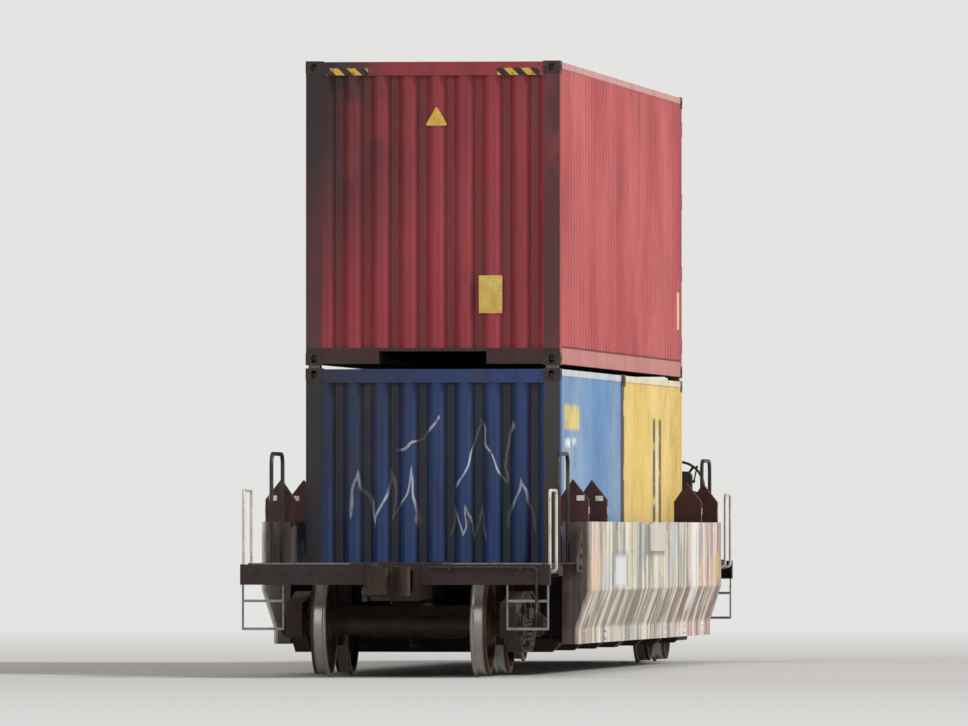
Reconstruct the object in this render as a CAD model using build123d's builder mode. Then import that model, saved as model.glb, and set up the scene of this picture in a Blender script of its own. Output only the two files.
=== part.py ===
from build123d import *
import os

os.makedirs("parts", exist_ok=True)

# Driving dimensions in millimetres. +X is the leading end, +Y the near side, and z = 0 is the floor
# under the wheel flanges. The rail head is one flange height above it.

# Wheels and axles
tread_radius = 457
flange_height = 26
wheel_back_to_back = 1353
rim_width = 145
rim_depth = 70
plate_offset = 34
plate_thickness = 36
plate_dish = 12
hub_radius = 145
hub_overhang = 16
axle_radius = 84
wheel_seat_radius = 104
dust_guard_radius = 96
journal_radius = 82
end_cap_radius = 98
end_cap_thickness = 26
bearing_spacing = 2006
bearing_length = 190
bearing_radius = 118
running_fit = 0.05
moving_gap = 8

rail_z = flange_height
axle_z = rail_z + tread_radius
flange_radius = tread_radius + flange_height
wheel_back_y = wheel_back_to_back / 2
wheel_face_y = wheel_back_y + rim_width
tread_y = wheel_back_y + 0.62 * rim_width
bearing_in_y = (bearing_spacing - bearing_length) / 2
bearing_out_y = bearing_in_y + bearing_length

# Trucks
truck_spacing = 15300
wheelbase = 1778
side_frame_thickness = 150
side_frame_top_z = rail_z + 775
side_frame_bottom_z = rail_z + 205
side_frame_member = 95
side_frame_pocket = 22
pedestal_top_z = rail_z + 672
pedestal_roof_z = rail_z + 605
pedestal_foot_z = rail_z + 345
pedestal_leg = 70
bolster_window_width = 450
bolster_width = 400
bolster_top_z = rail_z + 640
bolster_belly_z = rail_z + 330
bolster_end_depth = 98
bolster_end_drop = 22
bowl_rim_height = 25
bowl_rim_wall = 26
bowl_radius = 206
centre_plate_radius = 202
seat_gap = 0.3
side_bearing_y = 635
side_bearing_top_z = rail_z + 745
spring_radius = 52
spring_wire = 24
spring_row = 53
spring_pitch_x = 140
spring_shelf = 40
spring_turns = 6
brake_beam_offset = 300
brake_beam_drop = 40
brake_beam_depth = 46
brake_beam_width = 60
shoe_gap = 9
shoe_thickness = 50
shoe_width = 84
shoe_low_angle = -22
shoe_arc = 34
brake_lever_thickness = 22
brake_rod_radius = 18
brake_rod_z = rail_z + 262

# Well
well_inner_length = 12290
side_length = 13280
side_outer_y = 1550
side_lower_y = 1435
side_top_z = rail_z + 1430
side_knee_z = rail_z + 780
side_heel_z = rail_z + 420
side_bottom_z = rail_z + 270
side_sheet = 10
chord_width = 150
chord_height = 140
chord_wall = 10
sill_flange_width = 185
sill_flange = 12
rib_depth = 12
rib_width = 90
rib_pitch = 1660
end_strip_depth = 20
end_strip_width = 32
well_floor_z = rail_z + 300
bearer_belly_z = rail_z + 190
bearer_width = 150
bearer_spacing = 2000
end_bearer_width = 200
end_bearer_inset = 110
middle_bearer_width = 430
bulkhead_sheet = 12
bulkhead_rib = 36
end_box_y = 1295
end_box_sheet = 10
gusset_y = 1469
gusset_length = 400
gusset_sheet = 12
guide_height = 400
guide_shoulder_height = 210
guide_length = 110
guide_inner_y = 1262
guide_lip = 40
guide_spots = (-6560, -4800, 4800, 6560)

# Ends
sill_width = 380
sill_bottom_z = rail_z + 700
sill_wall = 16
deck_z = rail_z + 1042
deck_sheet = 12
striker_x = 9250
striker_plate = 34
striker_width = 470
end_sill_depth = 190
end_sill_width = 2900
end_sill_length = 110
body_bolster_width = 360
body_bolster_length = 2780
body_bolster_depth = 180
body_bolster_tip = 110
platform_inner_y = 420
edge_beam_depth = 100
edge_beam_leg = 80
edge_beam_sheet = 10
walkway_height = 40
walkway_gap = 10
rail_bar_radius = 19
grab_bar_radius = 14
loop_rail_y = 1360
loop_rail_in_x = 6740
loop_rail_out_x = 7600
loop_rail_top_z = rail_z + 2070
side_grab_in_x = 8520
side_grab_out_x = 9100
side_grab_top_z = rail_z + 1720
side_grab_stand_off = 46
step_run = 380
step_drop = 420
step_levels = (rail_z + 430, rail_z + 690)

# Couplers
coupler_z = rail_z + 876
pulling_face_x = 9850
coupler_pivot_x = 8820
coupler_pin_radius = 40
coupler_eye_radius = 92
shank_width = 130
shank_height = 168
head_height = 270
knuckle_height = 250
knuckle_hub_radius = 56
knuckle_hub_half = 103
knuckle_pin_radius = 20
knuckle_pin_back = 120
knuckle_pin_side = 135
lug_radius = 64
lug_thickness = 34
mouth_gap = 10

# Containers
box_width = 2438
long_length = 12192
short_length = 6058
high_height = 2896
low_height = 2591
middle_gap = 76
stack_gap = 30
casting_length = 178
casting_width = 162
casting_height = 118
casting_hole_depth = 45
casting_proud = 12
frame_inset = 3
header_inset = 8
sheet = 4
post_size = 150
end_recess = 6
rear_post_depth = 190
rear_post_skin = 14
rear_post_lip = 100
top_rail_height = 60
top_rail_depth = 50
bottom_rail_height = 155
bottom_rail_depth = 50
header_height = 130
sill_height = 150
wall_wave = 278
wall_wave_depth = 36
end_wave = 250
end_wave_depth = 45
roof_wave = 209
roof_wave_depth = 20
roof_border = 150
floor_thickness = 28
cross_member_depth = 122
cross_member_width = 45
cross_member_pitch = 600
tunnel_width = 1029
tunnel_length = 3300
tunnel_height = 120
fork_pocket_width = 360
fork_pocket_height = 115
fork_pocket_spacing = 2050
door_recess = 66
door_thickness = 52
door_edge_gap = 8
door_side_gap = 6
door_frame = 60
door_panel_waves = 5
door_wave_depth = 30
hinge_inset_x = 16
hinge_inset_y = 13
hinge_pin_radius = 8
hinge_eye_radius = 13
hinge_height = 90
hinge_count = 4
hinge_end_distance = 330
lock_rod_radius = 17
lock_rod_gap = 6
lock_rod_shares = (0.28, 0.74)
handle_length = 380
handle_height = 980

ends = (("front", 1), ("rear", -1))
hands = (("left", 1), ("right", -1))
half_truck = wheelbase / 2
half_side = side_length / 2
truck_x = truck_spacing / 2
bulkhead_x = well_inner_length / 2
spring_seat_z = side_frame_bottom_z + side_frame_member
bolster_end_top_z = bolster_top_z - bolster_end_drop
bolster_end_bottom_z = bolster_end_top_z - bolster_end_depth
sill_top_z = deck_z - deck_sheet
foot_z = side_bottom_z + sill_flange
stack_z = well_floor_z + low_height + stack_gap
short_x = (short_length + middle_gap) / 2
half_box = box_width / 2
door_edge_y = half_box - frame_inset - rear_post_skin - door_side_gap
door_free_y = door_side_gap
door_width = door_edge_y - door_free_y


def plane_yz(x):
    """Upright plane across the car at x, with local x to +Y and local y up."""
    return Plane(origin=(x, 0, 0), x_dir=(0, 1, 0), z_dir=(1, 0, 0))


def plane_xz(y):
    """Upright plane along the car at y, with local x to +X and local y up, facing -Y."""
    return Plane(origin=(0, y, 0), x_dir=(1, 0, 0), z_dir=(0, -1, 0))


def plane_xy(z):
    """Level plane at z."""
    return Plane.XY.offset(z)


def save(part, name):
    part.label = name
    export_step(part, f"parts/{name}.step")


def save_all(pieces, name):
    save(Compound(children=pieces), name)


def turned(part, way):
    """The same piece at the other end of the car, by half a turn about the middle."""
    return part if way > 0 else part.rotate(Axis.Z, 180)


def round_corners(sketch, radius):
    """Rounds the corners of a sketch, apart from the points where its mirrored halves met."""
    fillet([v for v in sketch.vertices() if abs(v.X) > 1], radius)


# Axles, each one turned profile from end cap to end cap
def axle(x):
    seat_in_y = wheel_back_y - hub_overhang - 8
    seat_out_y = wheel_face_y + hub_overhang + 8
    shoulder_y = bearing_in_y - 10
    cap_y = bearing_out_y + 8
    cap_end_y = cap_y + end_cap_thickness
    with BuildPart() as result:
        with BuildSketch(Plane(origin=(x, 0, axle_z), x_dir=(0, 1, 0), z_dir=(1, 0, 0))):
            with BuildLine():
                Polyline(
                    (0, 0), (0, axle_radius), (seat_in_y - 60, axle_radius + 6),
                    (seat_in_y, wheel_seat_radius), (seat_out_y, wheel_seat_radius),
                    (seat_out_y, dust_guard_radius), (shoulder_y, dust_guard_radius),
                    (shoulder_y, journal_radius), (cap_y, journal_radius), (cap_y, end_cap_radius),
                    (cap_end_y, end_cap_radius), (cap_end_y + 10, end_cap_radius - 30),
                    (cap_end_y + 10, 0), (0, 0),
                )
            make_face()
            mirror(about=Plane.YZ)
        revolve(axis=Axis((x, 0, axle_z), (0, 1, 0)))
    return result.part


# Wheels, each turned with its hub, dished plate, rim, tread and flange
def wheel(x, side):
    bore = wheel_seat_radius + running_fit
    hub_back_y = wheel_back_y - hub_overhang
    hub_face_y = wheel_face_y + hub_overhang
    plate_back_y = wheel_back_y + plate_offset
    plate_face_y = plate_back_y + plate_thickness
    plate_root = hub_radius + 12
    rim_root = tread_radius - rim_depth
    plate_middle = (plate_root + rim_root) / 2
    flange_y = wheel_back_y + 16
    flange_half = 12
    flange_side = flange_radius - 8
    back = [
        (hub_back_y, bore), (hub_back_y, hub_radius), (plate_back_y - 6, plate_root),
        (plate_back_y + plate_dish, plate_middle), (plate_back_y, rim_root),
        (wheel_back_y, rim_root + 12), (wheel_back_y, flange_radius - 10),
        (flange_y - flange_half, flange_side), (flange_y, flange_radius),
        (flange_y + flange_half, flange_side),
    ]
    face = [
        (wheel_back_y + 38, tread_radius + 3), (wheel_face_y, tread_radius - 2),
        (wheel_face_y, rim_root + 12), (plate_face_y, rim_root),
        (plate_face_y + plate_dish, plate_middle), (plate_face_y, plate_root),
        (hub_face_y, hub_radius), (hub_face_y, bore),
    ]
    back = [(side * y, r) for y, r in back]
    face = [(side * y, r) for y, r in face]
    with BuildPart() as result:
        with BuildSketch(Plane(origin=(x, 0, axle_z), x_dir=(0, 1, 0), z_dir=(1, 0, 0))):
            with BuildLine():
                Polyline(back[0], back[1], back[2])
                ThreePointArc(back[2], back[3], back[4])
                Polyline(back[4], back[5], back[6], back[7])
                ThreePointArc(back[7], back[8], back[9])
                Polyline(back[9], face[0], face[1], face[2], face[3])
                ThreePointArc(face[3], face[4], face[5])
                Polyline(face[5], face[6], face[7], back[0])
            make_face()
        revolve(axis=Axis((x, 0, axle_z), (0, 1, 0)))
    return result.part


# Cast side frames of a truck, with the bearing adapters and cups that carry the axles
def side_frame(x, side):
    y = side * bearing_spacing / 2
    half_thickness = side_frame_thickness / 2
    jaw = bearing_radius + 10
    inner_leg = half_truck - jaw
    outer_leg = half_truck + jaw
    leg_end = outer_leg + pedestal_leg
    column = bolster_window_width / 2
    shoulder = column + 205
    column_end = column + 75
    window_top_z = side_frame_top_z - side_frame_member
    cast_radius = 16
    with BuildPart() as result:
        start = (x, y + half_thickness, 0)
        with BuildSketch(Plane(origin=start, x_dir=(1, 0, 0), z_dir=(0, -1, 0))) as outline:
            with BuildLine():
                Polyline(
                    (0, side_frame_top_z), (shoulder, side_frame_top_z),
                    (inner_leg - 31, pedestal_top_z + 22), (leg_end - 10, pedestal_top_z),
                    (leg_end + 18, pedestal_top_z - 40), (leg_end, pedestal_foot_z),
                    (outer_leg, pedestal_foot_z), (outer_leg, pedestal_roof_z),
                    (inner_leg, pedestal_roof_z), (inner_leg, pedestal_foot_z + 25),
                    (inner_leg - 60, pedestal_foot_z), (shoulder - 30, side_frame_bottom_z),
                    (0, side_frame_bottom_z), (0, side_frame_top_z),
                )
            make_face()
            with BuildLine():
                Polyline(
                    (0, window_top_z), (column, window_top_z), (column, spring_seat_z),
                    (0, spring_seat_z), (0, window_top_z),
                )
            make_face(mode=Mode.SUBTRACT)
            with BuildLine():
                Polyline(
                    (column_end, window_top_z), (shoulder, window_top_z),
                    (inner_leg - 66, pedestal_top_z - 62), (inner_leg - 84, pedestal_foot_z + 62),
                    (column_end + 60, side_frame_bottom_z + 100),
                    (column_end, side_frame_bottom_z + 130), (column_end, window_top_z),
                )
            make_face(mode=Mode.SUBTRACT)
            mirror(about=Plane.YZ)
            round_corners(outline, cast_radius)
        extrude(amount=side_frame_thickness)
        outside = (x, y + side * half_thickness, 0)
        with BuildSketch(Plane(origin=outside, x_dir=(1, 0, 0), z_dir=(0, -1, 0))):
            with BuildLine():
                Polyline(
                    (0, side_frame_top_z - 24), (shoulder - 10, side_frame_top_z - 24),
                    (inner_leg - 35, pedestal_top_z - 6), (inner_leg - 35, pedestal_top_z - 24),
                    (shoulder - 10, side_frame_top_z - 70), (0, side_frame_top_z - 70),
                    (0, side_frame_top_z - 24),
                )
            make_face()
            with BuildLine():
                Polyline(
                    (0, side_frame_bottom_z + 24), (shoulder - 45, side_frame_bottom_z + 24),
                    (inner_leg - 90, pedestal_foot_z + 8), (inner_leg - 96, pedestal_foot_z + 26),
                    (shoulder - 58, side_frame_bottom_z + 68), (0, side_frame_bottom_z + 68),
                    (0, side_frame_bottom_z + 24),
                )
            make_face()
            mirror(about=Plane.YZ)
        extrude(amount=side * side_frame_pocket, mode=Mode.SUBTRACT)
        with Locations((x, y, spring_seat_z - spring_shelf / 2)):
            Box(bolster_window_width, 4 * spring_row + 20, spring_shelf)
        cup_top_z = axle_z + bearing_radius
        adapter_bottom_z = cup_top_z - 30
        for way in (-1, 1):
            axle_x = x + way * half_truck
            with Locations((axle_x, y, (pedestal_roof_z + 4 + adapter_bottom_z) / 2)):
                Box(190, side_frame_thickness - 10, pedestal_roof_z + 4 - adapter_bottom_z)
            with Locations(Location((axle_x, y, axle_z), (90, 0, 0))):
                Cylinder(bearing_radius, bearing_length)
                Cylinder(journal_radius + running_fit, bearing_length + 2, mode=Mode.SUBTRACT)
    return result.part


# Truck bolster: a cast beam that is deep at the middle, with the centre bowl and side bearings
def bolster(x):
    half = bearing_spacing / 2
    seat_half = 2 * spring_row + 4
    hole_y = 350
    hole_length = 230
    hole_height = 120
    on_top = (Align.CENTER, Align.CENTER, Align.MIN)
    with BuildPart() as result:
        with BuildSketch(plane_yz(x - bolster_width / 2)):
            with BuildLine():
                Polyline(
                    (0, bolster_top_z), (side_bearing_y + 125, bolster_top_z),
                    (half - seat_half, bolster_end_top_z), (half + seat_half, bolster_end_top_z),
                    (half + seat_half, bolster_end_bottom_z), (half - seat_half, bolster_end_bottom_z),
                    (430, bolster_belly_z), (0, bolster_belly_z), (0, bolster_top_z),
                )
            make_face()
            mirror(about=Plane.YZ)
        extrude(amount=bolster_width)
        fillet(result.edges().filter_by(Axis.Y).group_by(Axis.Z)[0], 30)
        with Locations((x, 0, bolster_top_z)):
            Cylinder(bowl_radius + bowl_rim_wall, bowl_rim_height, align=on_top)
            Cylinder(bowl_radius, bowl_rim_height, align=on_top, mode=Mode.SUBTRACT)
        with Locations((x, -side_bearing_y, bolster_top_z), (x, side_bearing_y, bolster_top_z)):
            Box(240, 110, side_bearing_top_z - bolster_top_z, align=on_top)
        with Locations((x, -hole_y, bolster_belly_z + 150), (x, hole_y, bolster_belly_z + 150)):
            Box(bolster_width + 2, hole_length, hole_height, mode=Mode.SUBTRACT)
    return result.part


# Coil springs, drawn as stacked turns between the spring seat and the bolster's end
def springs(x):
    height = bolster_end_bottom_z - spring_seat_z
    pitch = height / spring_turns
    waist = spring_radius - spring_wire / 2
    profile = [(0, 0)]
    for turn in range(spring_turns):
        profile += [(waist, turn * pitch), (spring_radius, (turn + 0.3) * pitch)]
        profile.append((spring_radius, (turn + 0.7) * pitch))
    profile += [(waist, height), (0, height)]
    with BuildPart() as result:
        for y in (-bearing_spacing / 2, bearing_spacing / 2):
            for dx in (-spring_pitch_x, 0, spring_pitch_x):
                for dy in (-spring_row, spring_row):
                    foot = (x + dx, y + dy, spring_seat_z)
                    with BuildSketch(Plane(origin=foot, x_dir=(1, 0, 0), z_dir=(0, -1, 0))):
                        with BuildLine():
                            Polyline(*profile, close=True)
                        make_face()
                    revolve(axis=Axis(foot, (0, 0, 1)))
    return result.part


# Brake beams with their shoes against the wheel treads, the truck levers and the rod under the bolster
def brake_beams(x):
    shoe_radius = tread_radius + shoe_gap
    back_radius = shoe_radius + shoe_thickness
    beam_z = axle_z - brake_beam_drop
    lever_top_z = rail_z + 600
    lever_foot_z = brake_rod_z - 30
    lever_lean = 20
    with BuildPart() as result:
        for way in (-1, 1):
            wheel_x = x + way * half_truck
            beam_x = x + way * brake_beam_offset
            with Locations((beam_x, 0, beam_z)):
                Box(brake_beam_width, bearing_spacing - side_frame_thickness, brake_beam_depth)
            for side in (-1, 1):
                shoe_start = (wheel_x, side * tread_y - way * shoe_width / 2, axle_z)
                with BuildSketch(Plane(origin=shoe_start, x_dir=(-way, 0, 0), z_dir=(0, way, 0))):
                    with BuildLine():
                        tread = CenterArc((0, 0), shoe_radius, shoe_low_angle, shoe_arc)
                        back = CenterArc((0, 0), back_radius, shoe_low_angle, shoe_arc)
                        Line(tread @ 0, back @ 0)
                        Line(tread @ 1, back @ 1)
                    make_face()
                extrude(amount=shoe_width)
                head_x = wheel_x - way * (back_radius - 4)
                with Locations(((beam_x + head_x) / 2, side * tread_y, beam_z)):
                    Box(abs(head_x - beam_x) + 14, 60, 90)
            with BuildSketch(plane_xz(brake_lever_thickness / 2)):
                with BuildLine():
                    Polyline(
                        (beam_x - way * (lever_lean + 26), lever_foot_z),
                        (beam_x - way * (lever_lean - 26), lever_foot_z),
                        (beam_x + way * (lever_lean + 20), lever_top_z),
                        (beam_x + way * (lever_lean - 20), lever_top_z),
                        close=True,
                    )
                make_face()
            extrude(amount=brake_lever_thickness)
        with Locations(Location((x, 0, brake_rod_z), (0, 90, 0))):
            Cylinder(brake_rod_radius, 2 * (brake_beam_offset - lever_lean))
    return result.part


# Side of the well: top chord, sheet with a knee, foot flange, outer ribs and end gussets
def side_outline(sign, inset):
    """The side's face from its top down to its foot, moved in by inset."""
    return [
        (sign * (side_outer_y - inset), side_top_z),
        (sign * (side_outer_y - inset), side_knee_z),
        (sign * (side_lower_y - inset), side_heel_z),
        (sign * (side_lower_y - inset), side_bottom_z),
    ]


def well_side(sign):
    face = side_outline(sign, 0)
    back = side_outline(sign, side_sheet)
    proud = side_outline(sign, -rib_depth)
    strip = side_outline(sign, -end_strip_depth)
    chord_in_y = sign * (side_outer_y - chord_width)
    flange_in_y = sign * (side_lower_y - sill_flange_width)
    chord_bottom_z = side_top_z - chord_height
    closure_y = sign * (end_box_y + 2)
    with BuildPart() as result:
        with BuildSketch(plane_yz(-half_side)):
            with BuildLine():
                Polyline(
                    *face, (flange_in_y, side_bottom_z), (flange_in_y, foot_z),
                    (sign * (side_lower_y - side_sheet), foot_z), back[2], back[1],
                    (sign * (side_outer_y - side_sheet), chord_bottom_z),
                    (chord_in_y, chord_bottom_z), (chord_in_y, side_top_z), close=True,
                )
            make_face()
            with Locations((sign * (side_outer_y - chord_width / 2), side_top_z - chord_height / 2)):
                Rectangle(
                    chord_width - 2 * chord_wall, chord_height - 2 * chord_wall, mode=Mode.SUBTRACT,
                )
        extrude(amount=side_length)
        rib_count = int((side_length - rib_width) / rib_pitch) + 1
        for i in range(rib_count):
            rib_x = (i - (rib_count - 1) / 2) * rib_pitch
            with BuildSketch(plane_yz(rib_x - rib_width / 2)):
                with BuildLine():
                    Polyline(
                        (sign * side_outer_y, side_top_z - 60), (proud[0][0], side_top_z - 90),
                        proud[1], proud[2], face[2], face[1], close=True,
                    )
                make_face()
            extrude(amount=rib_width)
        for way in (-1, 1):
            gusset_end_x = way * (half_side + gusset_length)
            with BuildSketch(plane_xz(sign * (gusset_y + gusset_sheet / 2) + gusset_sheet / 2)):
                with BuildLine():
                    Polyline(
                        (way * (half_side - 4), side_top_z - 30), (gusset_end_x, deck_z + 20),
                        (gusset_end_x, deck_z - 90), (way * (half_side - 4), deck_z - 90), close=True,
                    )
                make_face()
            extrude(amount=gusset_sheet)
            liner_in_x = bulkhead_x + bulkhead_sheet
            liner_top_z = side_top_z - guide_lip
            liner_at = (
                way * (liner_in_x + half_side) / 2, sign * (end_box_y + end_box_sheet / 2),
                (foot_z + liner_top_z) / 2,
            )
            with Locations(liner_at):
                Box(half_side - liner_in_x, end_box_sheet, liner_top_z - foot_z)
            with BuildSketch(plane_yz(way * (half_side - gusset_sheet / 2) - gusset_sheet / 2)):
                with BuildLine():
                    Polyline((closure_y, side_top_z), *face, (closure_y, side_bottom_z), close=True)
                make_face()
            extrude(amount=gusset_sheet)
            with BuildSketch(plane_yz(way * (half_side - end_strip_width / 2) - end_strip_width / 2)):
                with BuildLine():
                    Polyline(*strip, *reversed(face), close=True)
                make_face()
            extrude(amount=end_strip_width)
    return result.part


# Cross bearers of the open well floor, which carry the corner castings
def cross_bearers():
    inner_y = side_lower_y - side_sheet
    shelf_z = side_heel_z - 20
    end_x = bulkhead_x - end_bearer_inset
    rows = [(0, middle_bearer_width), (-end_x, end_bearer_width), (end_x, end_bearer_width)]
    rows += [(step * bearer_spacing, bearer_width) for step in (-2, -1, 1, 2)]
    with BuildPart() as result:
        for x, width in rows:
            with BuildSketch(plane_yz(x - width / 2)):
                with BuildLine():
                    Polyline(
                        (0, well_floor_z), (half_box + 40, well_floor_z), (half_box + 110, shelf_z),
                        (inner_y, shelf_z), (inner_y, foot_z), (inner_y - 180, foot_z),
                        (inner_y - 290, bearer_belly_z), (0, bearer_belly_z), (0, well_floor_z),
                    )
                make_face()
                mirror(about=Plane.YZ)
            extrude(amount=width)
    return result.part


# Bulkheads that close the well towards the trucks
def bulkheads():
    lower_y = side_lower_y - side_sheet
    upper_y = side_outer_y - side_sheet
    with BuildPart() as result:
        for way in (-1, 1):
            face_x = way * (bulkhead_x + bulkhead_sheet / 2)
            with BuildSketch(plane_yz(face_x - bulkhead_sheet / 2)):
                with BuildLine():
                    Polyline(
                        (0, foot_z), (lower_y, foot_z), (lower_y, side_heel_z), (upper_y, side_knee_z),
                        (upper_y, sill_top_z), (0, sill_top_z), (0, foot_z),
                    )
                make_face()
                mirror(about=Plane.YZ)
            extrude(amount=bulkhead_sheet)
            rib_x = way * (bulkhead_x + bulkhead_sheet + bulkhead_rib / 2)
            for y in (-1150, -400, 400, 1150):
                with Locations((rib_x, y, (foot_z + sill_bottom_z) / 2)):
                    Box(bulkhead_rib, 14, sill_bottom_z - foot_z)
            with Locations((rib_x, 0, foot_z + 20)):
                Box(bulkhead_rib, 2 * end_box_y, 40)
    return result.part


# Pentagonal guides on the top chords, which lead the containers down into the well
def container_guides():
    shoulder_z = side_top_z + guide_shoulder_height
    lip_z = side_top_z - guide_lip
    outer_y = side_outer_y - 10
    chord_in_y = side_outer_y - chord_width
    with BuildPart() as result:
        for x in guide_spots:
            for side in (-1, 1):
                with BuildSketch(plane_yz(x - guide_length / 2)):
                    with BuildLine():
                        Polyline(
                            (side * guide_inner_y, lip_z), (side * guide_inner_y, shoulder_z),
                            (side * (guide_inner_y + 130), side_top_z + guide_height),
                            (side * outer_y, shoulder_z), (side * outer_y, side_top_z),
                            (side * chord_in_y, side_top_z), (side * chord_in_y, lip_z), close=True,
                        )
                    make_face()
                extrude(amount=guide_length)
    return result.part


# End frame, built up in the open part: draft sill, body bolster, deck, edge beams and end sill
def draft_sill(near_x):
    sill_z = (sill_bottom_z + sill_top_z) / 2
    sill_length = striker_x - near_x
    inner_height = sill_top_z - sill_wall - sill_bottom_z
    inner_width = sill_width - 2 * sill_wall
    middle_x = near_x + sill_length / 2
    with Locations((middle_x, 0, sill_z)):
        Box(sill_length, sill_width, sill_top_z - sill_bottom_z)
    with Locations((middle_x, 0, sill_z - sill_wall / 2)):
        Box(sill_length + 2, inner_width, inner_height, mode=Mode.SUBTRACT)
    with Locations((truck_x, 0, sill_z)):
        Box(520, sill_width, sill_top_z - sill_bottom_z)
    with Locations((truck_x, 0, bolster_top_z + seat_gap)):
        Cylinder(
            centre_plate_radius, sill_bottom_z - bolster_top_z - seat_gap + 1,
            align=(Align.CENTER, Align.CENTER, Align.MIN),
        )
    with Locations((coupler_pivot_x, 0, coupler_z)):
        Cylinder(coupler_pin_radius, sill_top_z - sill_bottom_z - 8)
    for z in (sill_bottom_z + 12, sill_top_z - 30):
        with Locations((coupler_pivot_x, 0, z)):
            Box(200, sill_width - 4, 24)


def body_bolster():
    sill_side_y = sill_width / 2
    belly_z = sill_top_z - body_bolster_depth
    pad_z = side_bearing_top_z + moving_gap
    with BuildSketch(plane_yz(truck_x - body_bolster_width / 2)) as section:
        with BuildLine():
            Polyline(
                (0, sill_top_z), (body_bolster_length / 2, sill_top_z),
                (body_bolster_length / 2, sill_top_z - body_bolster_tip),
                (side_bearing_y + 90, belly_z), (sill_side_y, belly_z), (0, belly_z), (0, sill_top_z),
            )
        make_face()
        mirror(about=Plane.YZ)
    extrude(section.sketch, amount=body_bolster_width)
    with Locations((truck_x, -side_bearing_y, pad_z), (truck_x, side_bearing_y, pad_z)):
        Box(300, 120, belly_z - pad_z + 2, align=(Align.CENTER, Align.CENTER, Align.MIN))


def platform(near_x):
    bolster_face_x = truck_x + body_bolster_width / 2
    edge_y = body_bolster_length / 2
    end_sill_in_x = striker_x - end_sill_length
    end_sill_z = sill_top_z - end_sill_depth / 2
    web_length = (end_sill_width - sill_width) / 2 - 2 * edge_beam_sheet
    with BuildSketch(plane_xy(sill_top_z)) as outline:
        with BuildLine():
            Polyline(
                (near_x, 0), (near_x, end_box_y), (half_side, end_box_y), (half_side, gusset_y),
                (half_side + gusset_length, gusset_y), (bolster_face_x, edge_y),
                (bolster_face_x, platform_inner_y), (striker_x, platform_inner_y), (striker_x, 0),
                (near_x, 0),
            )
        make_face()
        mirror(about=Plane.XZ)
    extrude(outline.sketch, amount=deck_sheet)
    with Locations((striker_x - end_sill_length / 2, 0, end_sill_z)):
        Box(end_sill_length, end_sill_width, end_sill_depth)
    for side in (-1, 1):
        web_y = side * (end_sill_width + sill_width) / 4
        with Locations((end_sill_in_x + end_sill_length / 2 - sill_wall, web_y, end_sill_z)):
            Box(end_sill_length, web_length, end_sill_depth - 2 * sill_wall, mode=Mode.SUBTRACT)
        beam_x = (bolster_face_x + end_sill_in_x) / 2
        beam_length = end_sill_in_x - bolster_face_x
        with Locations((beam_x, side * (edge_y - edge_beam_sheet / 2), deck_z - edge_beam_depth / 2)):
            Box(beam_length, edge_beam_sheet, edge_beam_depth)
        shelf_z = deck_z - walkway_height - edge_beam_sheet / 2
        with Locations((beam_x, side * (edge_y - edge_beam_leg / 2 - 40), shelf_z)):
            Box(beam_length, edge_beam_leg + 80, edge_beam_sheet)


def striker():
    """The mouth of the sill: a plate with the coupler's opening, and the carrier below the shank."""
    inner_width = sill_width - 2 * sill_wall
    mouth_bottom_z = coupler_z - shank_height / 2 - mouth_gap
    mouth_top_z = coupler_z + shank_height / 2 + mouth_gap
    with Locations((striker_x - 50, 0, (sill_bottom_z + mouth_bottom_z) / 2)):
        Box(100, sill_width, mouth_bottom_z - sill_bottom_z)
    with Locations((striker_x + striker_plate / 2, 0, (sill_bottom_z + sill_top_z) / 2)):
        Box(striker_plate, striker_width, sill_top_z - sill_bottom_z + 20)
    with Locations((striker_x, 0, (mouth_bottom_z + mouth_top_z) / 2)):
        Box(
            2 * (striker_plate + end_sill_length), inner_width, mouth_top_z - mouth_bottom_z,
            mode=Mode.SUBTRACT,
        )


def end_frame():
    near_x = bulkhead_x + bulkhead_sheet
    with BuildPart() as result:
        platform(bulkhead_x)
        body_bolster()
        draft_sill(near_x)
        striker()
    return result.part


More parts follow.
